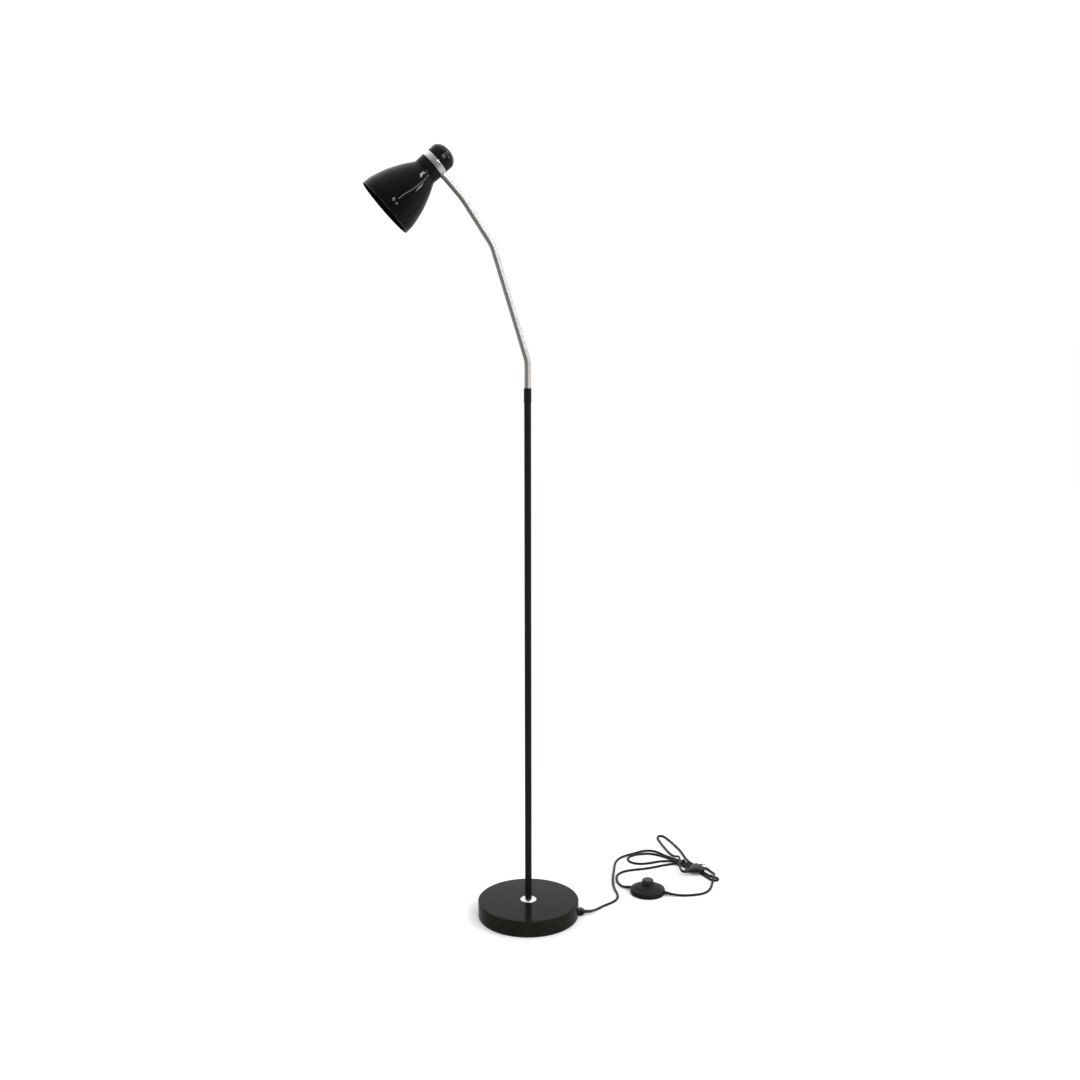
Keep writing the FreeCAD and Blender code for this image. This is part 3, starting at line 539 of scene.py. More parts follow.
def away(x, y, heading, distance, z):
    a = math.radians(heading)
    return (x + distance * math.cos(a), y + distance * math.sin(a), z)


def floor_points(points):
    return [(x, y, ON_FLOOR) for x, y in points]


foot_to_switch = [away(0, 0, OUTLET_HEADING, OUTLET_END, 6.5),
                  away(0, 0, OUTLET_HEADING, 117.0, 6.0), (133, -4.5, 3.4)]
foot_to_switch += floor_points([(146, 8), (160, 16.5), (173.5, 25.5), (183.5, 39), (187, 56),
                                (186, 80),
                                (190, 112), (197, 141), (206, 169), (214, 199), (226, 222),
                                (243, 236),
                                (264, 244), (284, 254), (302, 255), (316, 246)])
foot_to_switch += lane(1, [77, 60, 46, 33, 19, 1])
foot_to_switch += [waist(-17, 4.4), waist(-37, -2.4), waist(-54, -5.8)]
foot_to_switch += fold(-70, -9.6, 7.4)
foot_to_switch += [waist(-53, -14.6), waist(-36, -9.2), waist(-17, -1.5)]
foot_to_switch += lane(0, [1, 19, 33, 48, 63])
foot_to_switch += floor_points([(312, 231), (296, 239), (276, 240), (259, 235), (247.5, 224),
                                (245.5, 208),
                                (254, 195), (269, 189), (289, 191), (309, 196.5), (325, 194)])
foot_to_switch += lane(-1, [47, 33, 19, 5]) + fold(-8, -12.6, 6.8) + lane(-2, [6, 19, 32])
foot_to_switch += floor_points([(330, 178.5), (310, 175), (291, 169), (270, 165), (249, 164),
                                (231, 162),
                                (215, 154), (205.5, 142), (201.5, 127), (199, 111), (202, 95)])
INWARD = (SWITCH_X, SWITCH_Y, SWITCH_HEADING + 180)
OUTWARD = (SWITCH_X, SWITCH_Y, SWITCH_HEADING)
foot_to_switch += [away(*INWARD, SWITCH_R + 14, 4.5), away(*INWARD, SWITCH_R, 6.0)]

rear_turn, rear_straight = 5.6, 4.0
back_x = PLUG_REAR[0] - rear_straight * math.cos(PLUG_HEADING) - rear_turn * math.sin(PLUG_HEADING)
back_y = PLUG_REAR[1] - rear_straight * math.sin(PLUG_HEADING) + rear_turn * math.cos(PLUG_HEADING)
quarter = math.radians(90.0) + PLUG_HEADING
rear_angles = math.pi + quarter * (np.arange(4) + 0.5) / 4
rear_reach = rear_turn / math.cos(quarter / 8)
switch_to_plug = [away(*OUTWARD, SWITCH_R, 6.0), away(*OUTWARD, SWITCH_R + 14, 4.4)]
switch_to_plug += floor_points([(309, 28), (332, 26), (353, 29), (368, 40), (379, 58)])
switch_to_plug += [(388, 77, OVER), (397, 98, OVER), (401, 117, ON_FLOOR), (398, 134, ON_FLOOR)]
switch_to_plug += [waist(-17, 17.0), waist(-2, 12.8)]
switch_to_plug += floor_points([(371.6, 171.5), (368.2, 184), (366.4, 199), (366.2, 217),
                                (366.4, 238),
                                (364, 262), (359.5, 292), (355, 314), (351, 325), (345, 329),
                                (339, 325),
                                (336, 315), (336, 300), (336.6, 277), (338.2, 254), (340, 232)])
switch_to_plug += [waist(57, 11.2, ON_FLOOR + 1.5), waist(41, 7.0, OVER), waist(25, -8.0, OVER),
                   (340.5, 158, OVER), (337.5, 146, OVER - 0.8), (336.5, 137, 9.9),
                   (336.6, 131, 9.6)]
switch_to_plug += [(back_x + rear_reach * math.cos(a), back_y + rear_reach * math.sin(a),
                    PLUG_REAR[2] - 0.1) for a in rear_angles]
switch_to_plug += [tuple(PLUG_REAR)]


def lead(name, points):
    """A round lead along a smooth spline whose control points are the route, in mm."""
    curve = bpy.data.curves.new(name, "CURVE")
    curve.dimensions = "3D"
    spline = curve.splines.new("NURBS")
    spline.points.add(len(points) - 1)
    spline.points.foreach_set("co", np.c_[np.array(points) * MM, np.ones(len(points))].ravel())
    spline.order_u = 3
    spline.use_endpoint_u = True
    spline.resolution_u = 12
    curve.bevel_resolution = 6
    piece = linked(name, curve)
    line = np.array([v.co for v in bpy.data.meshes.new_from_object(piece).vertices])
    curve.bevel_depth = CORD_D / 2 * MM
    curve.use_fill_caps = True
    length = float(np.linalg.norm(np.diff(line, axis=0), axis=1).sum())
    print(name, "is", round(length, 3), "m long")
    return piece, line, length


lead_a, line_a, length_a = lead("cord_foot_to_switch", foot_to_switch)
lead_b, line_b, length_b = lead("cord_switch_to_plug", switch_to_plug)
for piece in (lead_a, lead_b):
    piece.data.materials.append(cord_sheath)
    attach(piece, "stand")
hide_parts("cord_from_base", "cord_hank", "cord_to_switch")
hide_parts("cord_from_switch", "cord_plug_loop")

# %% [markdown]


# %% [markdown]
# Some outlines are drawn as a few points with one smooth curve through them, such as the bell of
# the shade. Others are blocks with rounded corners whose size changes along their length, such
# as the plug. One helper makes each kind.


# %% Smooth outlines and rounded blocks
def smooth_through(points, steps=8):
    """Catmull-Rom curve: from each point to the next runs the cubic that leaves along half of
    (next - previous) and arrives along half of the following such difference."""
    p = np.array(points, float)
    p0 = np.vstack([2 * p[:1] - p[1:2], p[:-2]])
    p3 = np.vstack([p[2:], 2 * p[-1:] - p[-2:-1]])
    p1, p2 = p[:-1], p[1:]
    t = np.linspace(0, 1, steps, endpoint=False)[None, :, None]
    a, b, c, d = (q[:, None, :] for q in (p0, p1, p2, p3))
    curve = 0.5 * (2 * b + (c - a) * t + (2 * a - 5 * b + 4 * c - d) * t ** 2
                   + (3 * b - a - 3 * c + d) * t ** 3)
    return np.vstack([curve.reshape(-1, p.shape[1]), p[-1:]])


def bulged(values, power):
    """The values raised to a power, each with its own sign."""
    return np.sign(values) * np.abs(values) ** power


def lofted(name, stations, place, sides=72):
    """stations are rows of (x, half width, half height, squareness n, centre y, centre z) in mm.
    Each ring is the superellipse y = w |cos|^(2/n), z = h |sin|^(2/n) with the signs of cos and
    sin. The two ends shrink to a point on the last flat faces."""
    rows = np.array(stations, float)
    point, flat = np.array([1, 0, 0, 1, 1, 1]), np.array([1, 0.9, 0.9, 1, 1, 1])
    first, last = rows[:1], rows[-1:]
    rows = np.vstack([first * point, first * flat, rows, last * flat, last * point])
    x, w, h, n, cy, cz = (rows[:, k:k + 1] for k in range(6))
    a = ring(sides)[None, :]
    y = cy + w * bulged(np.cos(a), 2 / n)
    z = cz + h * bulged(np.sin(a), 2 / n)
    return grid_piece(name, placed(np.stack([x + 0 * y, y, z], axis=-1), place), wrap_v=True,
                      sharp=40.0)


def dress(piece, material, body, slot, *stands_for):
    """Gives a new piece its finish, hangs it on its body's empty and hides the pieces it stands
    for.
    """
    piece.data.materials.append(material)
    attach(piece, body)
    if stands_for:
        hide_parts(*stands_for)
    print(piece.name, len(piece.data.polygons), "faces")
    return piece


# %% [markdown]
# The foot is a turned disc of stone, ground and polished, with a small rounded edge and a
# notch in its rim for the cord outlet. The disc is turned, then the notch is taken out of it
# with a block, as a saw would.


# %% Foot
BASE_R, STONE_FOOT, STONE_TOP = 95.0, 2.0, 32.0


def heading_place(x, y, degrees, z=0.0):
    """A place at (x, y, z) whose X direction has the given heading, with Z upright."""
    a = math.radians(degrees)
    return (np.array([x, y, z]), np.array([[math.cos(a), math.sin(a), 0.0],
                                           [-math.sin(a), math.cos(a), 0.0], [0.0, 0.0, 1.0]]))


def sawn(piece, cutter):
    """Takes the cutter out of the piece and keeps the result as the piece's own mesh."""
    saw = piece.modifiers.new("saw", "BOOLEAN")
    saw.operation, saw.solver, saw.object = "DIFFERENCE", "EXACT", cutter
    bpy.context.view_layer.update()
    evaluated = piece.evaluated_get(bpy.context.evaluated_depsgraph_get())
    result = bpy.data.meshes.new_from_object(evaluated)
    piece.modifiers.clear()
    piece.data = result
    bpy.data.objects.remove(cutter)
    result.shade_smooth()
    result.set_sharp_from_angle(angle=math.radians(30.0))
    return piece


outlet_place = heading_place(0.0, 0.0, OUTLET_HEADING)
disc = softened([(0, STONE_FOOT), (BASE_R, STONE_FOOT), (BASE_R, STONE_TOP), (0, STONE_TOP)],
                [0, 1.0, 1.6, 0], steps=6)
foot = turned("foot_stone", disc, sides=288)
notch = lofted("notch", [(x, 7.8, 10.0, 40.0, 0.0, 2.3) for x in (82.0, 101.0)], outlet_place)
sawn(foot, notch)
dress(foot, polished_stone, "stand", "base_stone", "base_disc")

# %% [markdown]
# The outlet is a small moulded block let into the rim of the foot, with a round nose that
# holds the cord.

# %% Cord outlet
OUTLET_Z = 6.3
outlet = joined("outlet_block", [
    lofted("block", [(x, w, h, 7.0, 0.0, OUTLET_Z) for x, w, h in
                     ((82.2, 7.0, 5.5), (82.7, 7.5, 6.0), (101.6, 7.5, 6.0), (102.5, 6.8, 5.4))],
           outlet_place),
    lofted("nose", [(x, r, r, 2.0, 0.0, OUTLET_Z) for x, r in
                    ((101.0, 6.0), (104.7, 6.0), (OUTLET_END, 5.3))], outlet_place)])
dress(outlet, satin_black, "stand", "black_plastic", "cord_outlet")

# %% [markdown]
# The pole is a slim lacquered steel tube. A small bright rosette covers the place where it
# enters the stone, and a plain black sleeve grips its top and the first of the gooseneck.

# %% Pole, rosette and sleeve
POLE_R, POLE_BORE, POLE_TOP, SLEEVE_R = 6.35, 5.35, 971.0, 6.85
rosette = turned("pole_rosette", softened([(6.4, STONE_TOP), (15.5, STONE_TOP), (15.0, 33.0),
                                           (11.5, 34.4),
                                           (6.4, 35.0)], [0, 0.3, 0.5, 1.5, 0.3]))
pole = turned("pole_tube", softened([(POLE_BORE, STONE_TOP), (POLE_R, STONE_TOP),
                                     (POLE_R, POLE_TOP),
                                     (POLE_BORE, POLE_TOP)], 0.2))
sleeve = turned("pole_sleeve", softened([(3.4, 950), (5.3, 950), (5.3, POLE_TOP),
                                         (SLEEVE_R, POLE_TOP),
                                         (SLEEVE_R, SLEEVE_TOP), (5.05, SLEEVE_TOP), (5.05, 983),
                                         (3.4, 983)],
                                        [0.1, 0.1, 0.1, 0.25, 0.6, 0.1, 0.1, 0.1]))
dress(rosette, satin_nickel, "stand", "chrome_plate", "base_rosette")
dress(pole, pole_enamel, "stand", "black_metal", "pole")
dress(sleeve, pole_enamel, "stand", "black_plastic", "pole_top_sleeve")

# %% [markdown]
# A gooseneck is wound from two wires, so a single fine groove climbs round it like a thread.
# The skin is one surface whose radius depends on the distance along the neck and on the angle round
# it. It is made in six lengths, each standing in for the neck sections it covers.

# %% Gooseneck skin
NECK_R, NECK_GROOVE, WIND_PITCH, NECK_INSIDE = 5.8, 0.2, 1.8, 3.6
SKIN_AT = [0.0, 63.5, 126.5, 189.5, 249.5, 303.0, NECK_LENGTH]


def neck_rings(s, angles, radius):
    """Points centre(s) + r cos a * across + r sin a * Y, where across is square to the neck."""
    centre, tilt = neck_line(s)
    across = np.stack([np.cos(tilt), 0 * tilt, np.sin(tilt)], -1)[:, None, :]
    depth = np.array([0.0, 1.0, 0.0])
    return (centre[:, None, :] + radius[..., None] * (np.cos(angles)[None, :, None] * across
                                                      + np.sin(angles)[None, :, None] * depth))


def wound_skin(name, lo, hi, sides=28, rows_per_turn=8):
    """Radius = R - groove (1 - |sin(pi (s / pitch - a / 2 pi))|^0.6): a round wire climbing by
    one pitch in each turn, with a sharp groove between its turns. The inside is a plain bore."""
    angles = ring(sides)
    s = np.linspace(lo, hi, int((hi - lo) / WIND_PITCH * rows_per_turn))
    turn = s[:, None] / WIND_PITCH - angles[None, :] / (2 * np.pi)
    radius = NECK_R - NECK_GROOVE * (1 - np.abs(np.sin(np.pi * turn)) ** 0.6)
    inner = np.linspace(hi, lo, 14)
    bore = np.full((len(inner), sides), NECK_INSIDE)
    rows = np.concatenate([neck_rings(s, angles, radius), neck_rings(inner, angles, bore)])
    return grid_piece(name, rows * MM, wrap_u=True, wrap_v=True, sharp=75.0)


NECK_NODES = [("neck_section_1", "neck_section_2"), ("neck_section_3",), ("neck_section_4",),
              ("neck_section_5",), ("neck_section_6",), ("neck_section_7",)]
skins = []
for k in range(6):
    skin = wound_skin("neck_skin_%d" % (k + 1), SKIN_AT[k], SKIN_AT[k + 1])
    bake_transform(skin)
    skin.data.materials.append(neck_steel)
    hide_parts(*NECK_NODES[k])
    skins.append(skin)
print("neck skins:", [len(s.data.polygons) for s in skins])

# %% [markdown]
# The shade is spun from sheet metal: a bell with a smooth curve, a thin wall and a small
# inward flange that the lamp holder clamps. Its outside and inside are the same curve, one
# wall apart.

# %% Shade
bell = smooth_through([(55.0, 0), (54.0, 15.5), (50.5, 30.7), (45.9, 46.0), (39.6, 61.4),
                       (32.2, 76.7),
                       (24.9, 89.5), (23.6, 94.0)], 10)
inside = smooth_through([(22.3, 92.8), (23.7, 89.5), (31.0, 76.5), (38.4, 61.0), (44.7, 45.6),
                         (49.3, 30.4),
                         (52.8, 15.4), (53.8, 0.0)], 10)
shade = turned("shade_bell", np.vstack([bell, [(14.5, 94.0), (14.5, 92.8)], inside]), HEAD_PLACE,
               sides=224)
dress(shade, black_enamel, "head", "black_metal", "shade")

# %% [markdown]
# Behind the shade sit the black collar, the bright band that carries the neck, and the domed
# cap. Each is a short turned ring whose edges are eased so that they catch a line of light.

# %% Collar, band and cap
BAND_LOW, BAND_HIGH = 108.7, 119.7
collar = turned("head_collar", softened([(23.6, 94), (24.0, 96.5), (24.5, BAND_LOW),
                                         (23.1, BAND_LOW),
                                         (23.1, 111.5), (21.9, 111.5), (21.9, 94)],
                                        [0.2, 0.8, 0.3, 0.1, 0.2, 0.2, 0.1]), HEAD_PLACE, sides=192)
band = turned("head_band", softened([(BAND_R, BAND_LOW), (BAND_R, BAND_HIGH), (23.2, BAND_HIGH),
                                     (23.2, BAND_LOW)], [0.5, 0.5, 0.1, 0.1]), HEAD_PLACE,
              sides=192)
dome = smooth_through([(23.9, 133), (23.1, 136.0), (21.0, 139.2), (17.6, 142.7), (13.6, 145.1),
                       (9.4, 146.6),
                       (4.8, 147.35), (0, 147.5)], 6)
under = smooth_through([(0, 145.4), (9.0, 144.6), (16.0, 141.6), (20.3, 137.5), (21.7, 132.5)], 6)
skirt = [(21.4, 116.5), (22.9, 116.5), (22.9, BAND_HIGH), (23.5, BAND_HIGH), (23.9, 120.1)]
cap = turned("head_cap", np.vstack([skirt, dome, under]), HEAD_PLACE, sides=192)
dress(collar, cap_gloss, "head", "black_plastic", "shade_collar")
dress(band, bright_chrome, "head", "chrome_plate", "chrome_band")
dress(cap, cap_gloss, "head", "black_plastic", "cap")

# %% [markdown]
# The neck screws into the band through a small bright ferrule. It points out of the band
# square to the head's own axis.

# %% Ferrule
side_place = (MOUTH + AXIS * MOUTH_TO_NECK, np.array([[0.0, 1.0, 0.0], AXIS, SIDE]))
ferrule = turned("neck_ferrule_ring", softened([(4.5, 24.1), (6.3, 24.1), (6.3, 30.8), (4.5, 30.8)],
                                               [0.1, 0.1, 0.7, 0.1]), side_place, sides=96)
dress(ferrule, bright_chrome, "head", "chrome_plate", "neck_ferrule")

# %% [markdown]
# Inside the shade hangs a small round lamp: a globe of opal glass drawn into a neck, in a
# pressed screw cap.

# %% Lamp
BULB_R, BULB_CENTRE, BULB_WALL = 22.5, 33.0, 1.1


def ball(radius, start, end, steps):
    """Points on the globe's outline, from one angle to another in degrees from its lowest point."""
    swing = np.radians(np.linspace(start, end, steps))
    return np.stack([radius * np.sin(swing), BULB_CENTRE - radius * np.cos(swing)], -1)


throat = [(9.6, 55.0), (7.6, 59.0), (7.0, 62.0), (6.0, 62.0), (6.5, 58.6), (8.4, 54.4)]
glass = turned("lamp_globe", np.vstack([ball(BULB_R, 0, 146, 26), throat,
                                        ball(BULB_R - BULB_WALL, 144, 0, 24)]), HEAD_PLACE,
               sides=128)
dress(glass, opal_glass, "head", "bulb_glass", "bulb_glass")

# %% [markdown]
# The foot switch is a round moulding in two halves with a push button on top. The parting
# line between the halves is a fine groove, and the upper half is a low dome.

# %% Foot switch
switch_place = heading_place(SWITCH_X, SWITCH_Y, SWITCH_HEADING)
lower_out = softened([(0, 0), (33.2, 0), (SWITCH_R, 0.9), (SWITCH_R, 6.9), (33.5, 7.0), (32, 7),
                      (32, 2),
                      (0, 2)], [0, 0.4, 0.6, 0.3, 0.1, 0.1, 0.3, 0])
lower_switch = turned("switch_lower", lower_out, switch_place, sides=192)
upper_out = smooth_through([(SWITCH_R, 7.4), (33.2, 9.4), (28.2, 11.9), (20.5, 15.9),
                            (14.3, 17.5)], 8)
upper_in = smooth_through([(13.8, 15.5), (19.6, 14.0), (26.8, 10.3), (31.4, 8.4), (32, 7)], 6)
rim = [(13.4, 17.8), (12.9, 18.5), (12.1, 18.5), (11.75, 18.1), (11.75, 15.5)]
upper_switch = turned("switch_upper", np.vstack([[(33.5, 7.0)], upper_out, rim, upper_in]),
                      switch_place, sides=192)
dress(lower_switch, switch_moulding, "stand", "switch_plastic", "switch_lower_housing")
dress(upper_switch, switch_moulding, "stand", "switch_plastic", "switch_upper_housing")

button_out = softened([(0, 29.0), (11.2, 28.8), (11.5, 15.2), (13.8, 15.2), (13.8, 13.7),
                       (9.4, 13.7),
                       (9.4, 19.8), (0, 19.8)], [0, 3.4, 0.2, 0.2, 0.2, 0.2, 0.2, 0], steps=6)
button = turned("switch_push_button", button_out, switch_place, sides=128)
dress(button, button_moulding, "button", "switch_button", "switch_button")

# %% [markdown]
# A coil of steel wire under the button brings it back up. Its lower end stands on the switch block,
# and its upper end is pushed down with the button.

# %% Return spring
SPRING_R, SPRING_WIRE, SPRING_TURNS = 5.5, 0.48, 3.0
SPRING_FOOT, SPRING_HEAD, BUTTON_TRAVEL = 12.5, 19.75, 3.0


def coiled(name, place, steps=180, sides=12):
    """The wire's centre is (R cos t, R sin t) while it climbs evenly. Round it runs a ring
    w cos a * outward + w sin a * (along x outward), so the wire stays round at any slope."""
    t = np.linspace(0.0, 2 * np.pi * SPRING_TURNS, steps)
    outward = np.stack([np.cos(t), np.sin(t), 0 * t], -1)
    climb = np.linspace(SPRING_FOOT + SPRING_WIRE, SPRING_HEAD - SPRING_WIRE, steps)
    centre = SPRING_R * outward + np.stack([0 * t, 0 * t, climb], -1)
    slope = (climb[-1] - climb[0]) / t[-1]
    along = np.stack([-SPRING_R * np.sin(t), SPRING_R * np.cos(t), slope + 0 * t], -1)
    along /= np.linalg.norm(along, axis=1)[:, None]
    square = np.cross(along, outward)
    a = ring(sides)[None, :, None]
    round_it = np.cos(a) * outward[:, None] + np.sin(a) * square[:, None]
    local = centre[:, None] + SPRING_WIRE * round_it
    return grid_piece(name, placed(local, place), wrap_v=True, sharp=60.0, caps=True)


spring = coiled("switch_return_spring", switch_place)
dress(spring, zinc_plate, "stand", "zinc_steel", "switch_spring")
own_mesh(spring)

# %% [markdown]
# The plug is one soft moulding: flat and wide at the pins, drawn in to the cord, with shallow
# grip ribs on its shoulders. It is a block whose rounded section changes along its length.

# %% Plug
plug_side = np.array([-math.sin(PLUG_HEADING), math.cos(PLUG_HEADING), 0.0])
plug_place = (PLUG_FACE, np.array([PLUG_AXIS, plug_side, np.cross(PLUG_AXIS, plug_side)]))
GRIP_DEPTH, GRIP_PITCH, GRIP_MIDDLE, GRIP_REACH = 0.35, 2.6, -15, 6.0
back, half_width, half_height = smooth_through([
    (-PLUG_LENGTH, 3.9, 3.7), (-24, 6.6, 4.8), (-13, 14.2, 5.8), (-7, 16.9, 6.1), (-1.2, 16.8, 6.1),
    (0.0, 16.2, 5.5)], 10).T
grip = GRIP_DEPTH * np.cos(back * 2 * np.pi / GRIP_PITCH)
grip *= np.exp(-((back - GRIP_MIDDLE) / GRIP_REACH) ** 4)
squareness = np.interp(back, [-PLUG_LENGTH, -24, -13, 0], [2.0, 2.1, 2.5, 2.8])
plug = lofted("plug_moulding", np.stack([back, half_width - GRIP_DEPTH + grip, half_height,
                                         squareness,
                                         0 * back, 0 * back], -1), plug_place, sides=96)
dress(plug, plug_moulding, "stand", "plug_plastic", "plug_body")


def pin_place(across):
    return (PLUG_FACE + across * plug_side,
            np.array([plug_side, np.cross(PLUG_AXIS, plug_side), PLUG_AXIS]))


PIN_ACROSS = 9.3


def on_pins(name, section, radii):
    """The same turned piece on both pins, one to each side of the plug's middle."""
    return joined(name, [turned("pin", softened(section, radii), pin_place(across), sides=48)
                         for across in (-PIN_ACROSS, PIN_ACROSS)])


pin_sleeves = on_pins("plug_sleeves", [(0, 0.05), (2.0, 0.05), (2.0, 10.0), (0, 10.0)],
                      [0, 0.1, 0.2, 0])
pin_tips = on_pins("plug_tips", [(0, 10.0), (1.95, 10.0), (1.95, 17.8), (1.1, 19.0), (0, 19.0)],
                   [0, 0.1, 0.6, 0.4, 0])
dress(pin_sleeves, plug_moulding, "stand", "plug_plastic", "plug_pin_sleeves")
dress(pin_tips, pin_metal, "stand", "pin_metal", "plug_pin_tips")

# %% [markdown]
# A narrow nylon tie holds the gathered strands. It is a strap carried along a flat oval path,
# with fine teeth across it, and a small square head on top.

# %% Tie
TIE_IN, TIE_SLACK, TOOTH_PITCH, TOOTH_DEPTH = CORD_D / 2 + 0.15, 0.6, 0.9, 0.18
tie_lo = -2 * LANE_PITCH + bow(TIE_AT) - CORD_D / 2 - TIE_SLACK + TIE_IN
tie_hi = LANE_PITCH + bow(TIE_AT) + CORD_D / 2 + TIE_SLACK - TIE_IN
tie_heading = math.radians(WAIST_HEADING)
tie_place = (np.array(waist(TIE_AT, 0.0, 0.0)),
             np.array([[math.sin(tie_heading), -math.cos(tie_heading), 0.0],
                       [math.cos(tie_heading), math.sin(tie_heading), 0.0], [0.0, 0.0, 1.0]]))


def oval_strap(name, lo, hi, inner, thick, width, steps=240):
    """The centre of the strap runs round an oval: two straights from lo to hi joined by half
    circles. The strap's section is a rounded rectangle, thinner in each tooth's root."""
    mid = inner + thick / 2
    straight, arc = hi - lo, math.pi * mid
    t = np.linspace(0, 2 * (straight + arc), steps, endpoint=False)
    u = np.mod(t, straight + arc)
    half = t >= straight + arc
    on_line = u < straight
    angle = np.where(on_line, 0.0, (u - straight) / mid)
    x = np.where(on_line, lo + u, hi + mid * np.sin(angle))
    z = np.where(on_line, mid, mid * np.cos(angle))
    nx, nz = np.where(on_line, 0.0, np.sin(angle)), np.where(on_line, 1.0, np.cos(angle))
    x, z = np.where(half, lo + hi - x, x), np.where(half, -z, z)
    nx, nz = np.where(half, -nx, nx), np.where(half, -nz, nz)
    a = ring(16)
    tooth = 0.5 + 0.5 * np.sin(t * 2 * np.pi / TOOTH_PITCH)
    reach = (thick / 2 * (1 - TOOTH_DEPTH * tooth))[:, None] * bulged(np.sin(a), 0.4)[None, :]
    across = width / 2 * bulged(np.cos(a), 0.4)
    local = np.stack([x[:, None] + nx[:, None] * reach,
                      np.broadcast_to(across[None, :], (steps, len(a))),
                      IN_TIE + z[:, None] + nz[:, None] * reach], -1)
    return grid_piece(name, placed(local, tie_place), wrap_u=True, wrap_v=True, sharp=50.0)


tie_strap = oval_strap("strap", tie_lo, tie_hi, TIE_IN, TIE_T, 3.6)
HEAD_Z = IN_TIE + TIE_IN + TIE_T + 0.9
tie_box = lofted("head", [(x, w, h, 6.0, 0.0, HEAD_Z) for x, w, h in
                          ((1.5, 2.4, 1.5), (1.8, 2.6, 1.7), (5.7, 2.6, 1.7), (6.0, 2.4, 1.5))],
                 tie_place, sides=40)
tie = joined("cord_tie", [tie_strap, tie_box])
dress(tie, tie_nylon, "stand", "tie_plastic", "cable_tie")

# %% [markdown]
# Where the lead enters a housing it is held by a short tapered sleeve with rings, which keeps
# it from being bent sharply. Each sleeve follows the cord's own curve.


# %% Strain reliefs
def relief(name, line, length=20.0, thick=3.55, thin=2.34, rings=5):
    """Radius falls smoothly from thick to thin along the first length of the line, less a
    shallow groove rings times, and the sleeve never reaches below the floor."""
    seen = np.concatenate([[True], np.linalg.norm(np.diff(line, axis=0), axis=1) > 1e-7])
    line = line[seen]
    run = np.concatenate([[0.0], np.cumsum(np.linalg.norm(np.diff(line, axis=0), axis=1))]) / MM
    s = np.linspace(0.0, length, 72)
    centre, ahead, behind = (np.stack([np.interp(np.maximum(s + step, 0), run, line[:, k])
                                       for k in range(3)], -1) / MM for step in (0.0, 0.6, -0.6))
    along = ahead - behind
    along /= np.linalg.norm(along, axis=1)[:, None]
    side = np.cross(np.array([0.0, 0.0, 1.0]), along)
    side /= np.linalg.norm(side, axis=1)[:, None]
    up = np.cross(along, side)
    t = s / length
    groove = 0.42 * np.clip(np.sin(t * 2 * np.pi * rings), 0, 1) * (t > 0.08) * (t < 0.93)
    radius = thin + (thick - thin) * (1 - t) ** 0.9 - groove * (1 - 0.6 * t)
    radius = np.minimum(np.maximum(radius, 2.3), centre[:, 2] - 0.02)
    a = ring(40)
    rows = (centre[:, None] + radius[:, None, None] * (np.cos(a)[None, :, None] * side[:, None]
                                                       + np.sin(a)[None, :, None] * up[:, None]))
    return grid_piece(name, rows * MM, wrap_v=True, sharp=60.0, caps=True)


for label, line in (("outlet_relief", line_a), ("switch_relief_in", line_a[::-1]),
                    ("switch_relief_out", line_b), ("plug_relief", line_b[::-1])):
    dress(relief(label, line), plug_moulding, "stand",
          "plug_plastic" if label == "plug_relief" else "black_plastic")

# %% [markdown]
# The photograph is a cut-out on plain white. A large pale floor under an even white sky gives
# the same ground, and only the faint contact shadows tell where things stand.

# %% Floor
FLOOR_EDGE = 30.0
corners = np.array([[[-1, -1, 0], [1, -1, 0]], [[-1, 1, 0], [1, 1, 0]]])
floor = grid_piece("floor", corners * FLOOR_EDGE)
pale, tree, shader = new_material("pale_floor")
fill(shader, {"Base Color": (0.93, 0.93, 0.93, 1), "Roughness": 0.95, "Specular IOR Level": 0.0})
floor.data.materials.append(pale)
floor.visible_glossy = False
print("floor normal up:", floor.data.polygons[0].normal.z > 0)

# %% [markdown]
# A black gloss lamp shows mostly what stands round it. The room here is dim in front, brighter
# to the sides and above, and it is seen only in reflections: the plain white sky lights
# everything else. Each side of the room is a soft lobe, the cosine to its direction raised
# to a power.


# %% Room seen in reflections
world = bpy.data.worlds.new("studio")
bpy.context.scene.world = world
world.use_nodes = True
tree = world.node_tree
backdrop = tree.nodes["Background"]
sky = node(tree, "TexCoord")


def toward(azimuth, elevation):
    """Unit direction. Azimuth 0 is towards the camera's side (-Y) and 90 is +X."""
    a, e = math.radians(azimuth), math.radians(elevation)
    return Vector((math.sin(a) * math.cos(e), -math.cos(a) * math.cos(e), math.sin(e)))


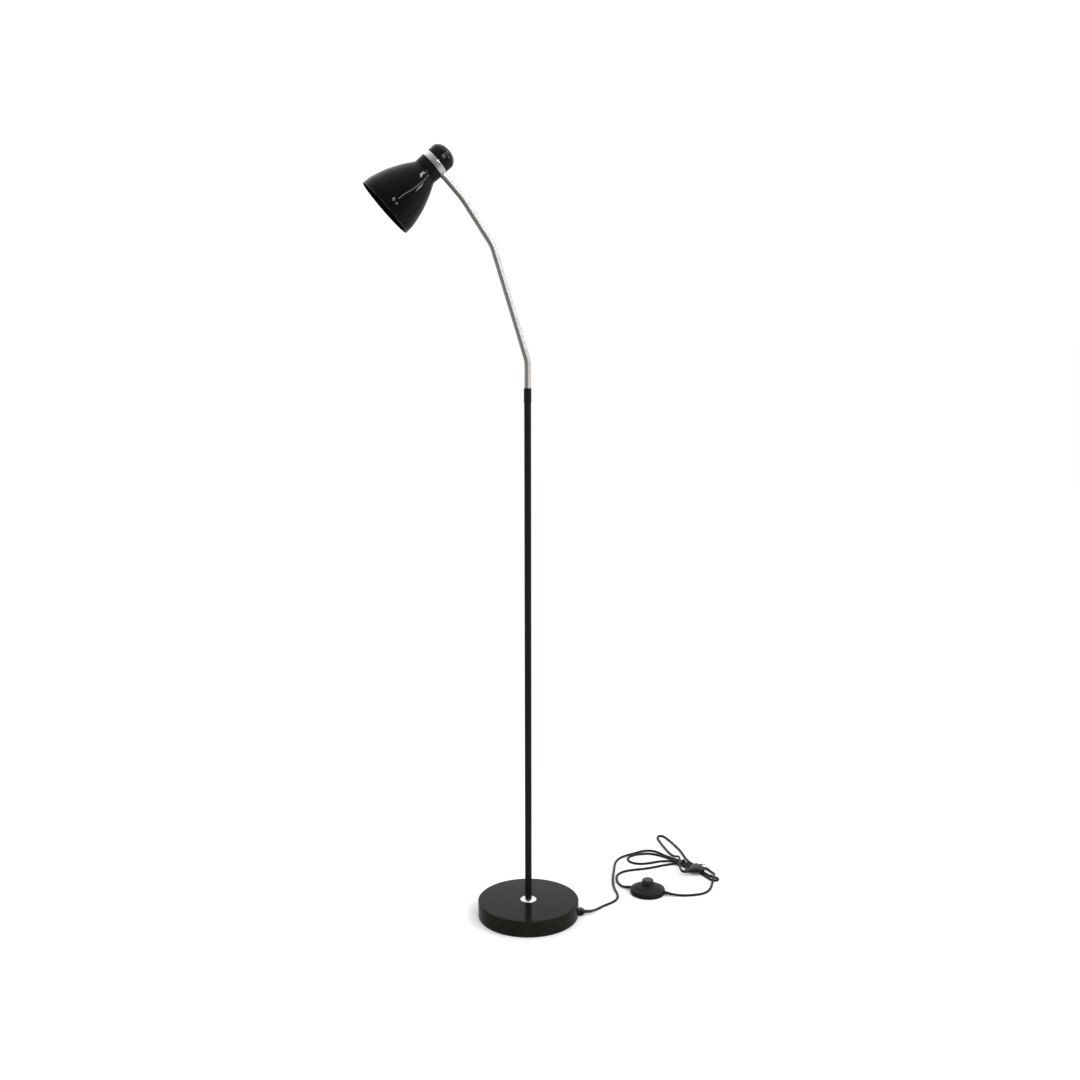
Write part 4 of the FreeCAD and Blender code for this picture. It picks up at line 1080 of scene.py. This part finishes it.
LOBES = [((118, 5), 0.42), ((95, 35), 0.62), ((75, -40), 0.34), ((-95, -12), 0.18),
         ((-115, 30), 0.12),
         ((-150, 5), 0.38), ((180, 60), 0.90), ((175, 20), 0.30), ((0, 75), 0.36)]
LOBE_POWER, ROOM_DIM, SKY_LIGHT = 4.0, 0.20, 1.09
total = None
for (azimuth, elevation), strength in LOBES:
    dot = node(tree, "VectorMath", {1: toward(azimuth, elevation)}, operation="DOT_PRODUCT")
    cut = node(tree, "Math", {1: 0.0}, operation="MAXIMUM")
    shaped = node(tree, "Math", {1: LOBE_POWER}, operation="POWER")
    scaled = node(tree, "Math", {1: strength, 2: ROOM_DIM}, operation="MULTIPLY_ADD")
    wire(tree, (sky, "Generated", dot, 0), (dot, "Value", cut, 0), (cut, "Value", shaped, 0),
         (shaped, "Value", scaled, 0))
    if total is not None:
        wire(tree, (total, "Value", scaled, 2))
    total = scaled
kind = node(tree, "LightPath")
choose = node(tree, "Mix", {"A": SKY_LIGHT}, data_type="FLOAT")
wire(tree, (kind, "Is Glossy Ray", choose, "Factor"), (total, "Value", choose, "B"),
     (choose, "Result", backdrop, "Strength"))
fill(backdrop, {"Color": (1, 1, 1, 1)})
print("room lobes:", len(LOBES))

# %% [markdown]
# The photograph's small bright marks on the shade are windows and lamps in the room. Each mark
# gives the direction its light came from, by reflecting the line of sight in the surface, so
# the lamps stand in those directions.


# %% Windows
HEAD_CENTRE = Vector((-0.21, 0.0, 1.34))


def window(name, azimuth, elevation, wide, high, radiance, distance=3.0):
    """A rectangle of the given angular size in degrees. An area light's power is its radiance
    times pi times its area."""
    width = 2 * distance * math.tan(math.radians(wide / 2))
    height = 2 * distance * math.tan(math.radians(high / 2))
    light = bpy.data.lights.new(name, "AREA")
    light.shape = "RECTANGLE"
    light.size, light.size_y = width, height
    light.energy = radiance * math.pi * width * height
    lamp = linked(name, light)
    lamp.location = HEAD_CENTRE + toward(azimuth, elevation) * distance
    lamp.rotation_mode = "QUATERNION"
    lamp.rotation_quaternion = (-toward(azimuth, elevation)).to_track_quat("-Z", "Y")
    return lamp


WINDOWS = [("window_high", 60, 37, 4, 14, 30.0), ("window_strip", 54, 16, 46, 2.0, 16.0),
           ("window_side", 68, 8, 9, 4, 20.0), ("window_low", 17, 16, 7, 10, 18.0),
           ("window_foot", 27, 2, 8, 6, 12.0), ("window_cap", 102, 40, 8, 6, 10.0)]
for spec in WINDOWS:
    window(*spec)
print("windows:", len(WINDOWS))
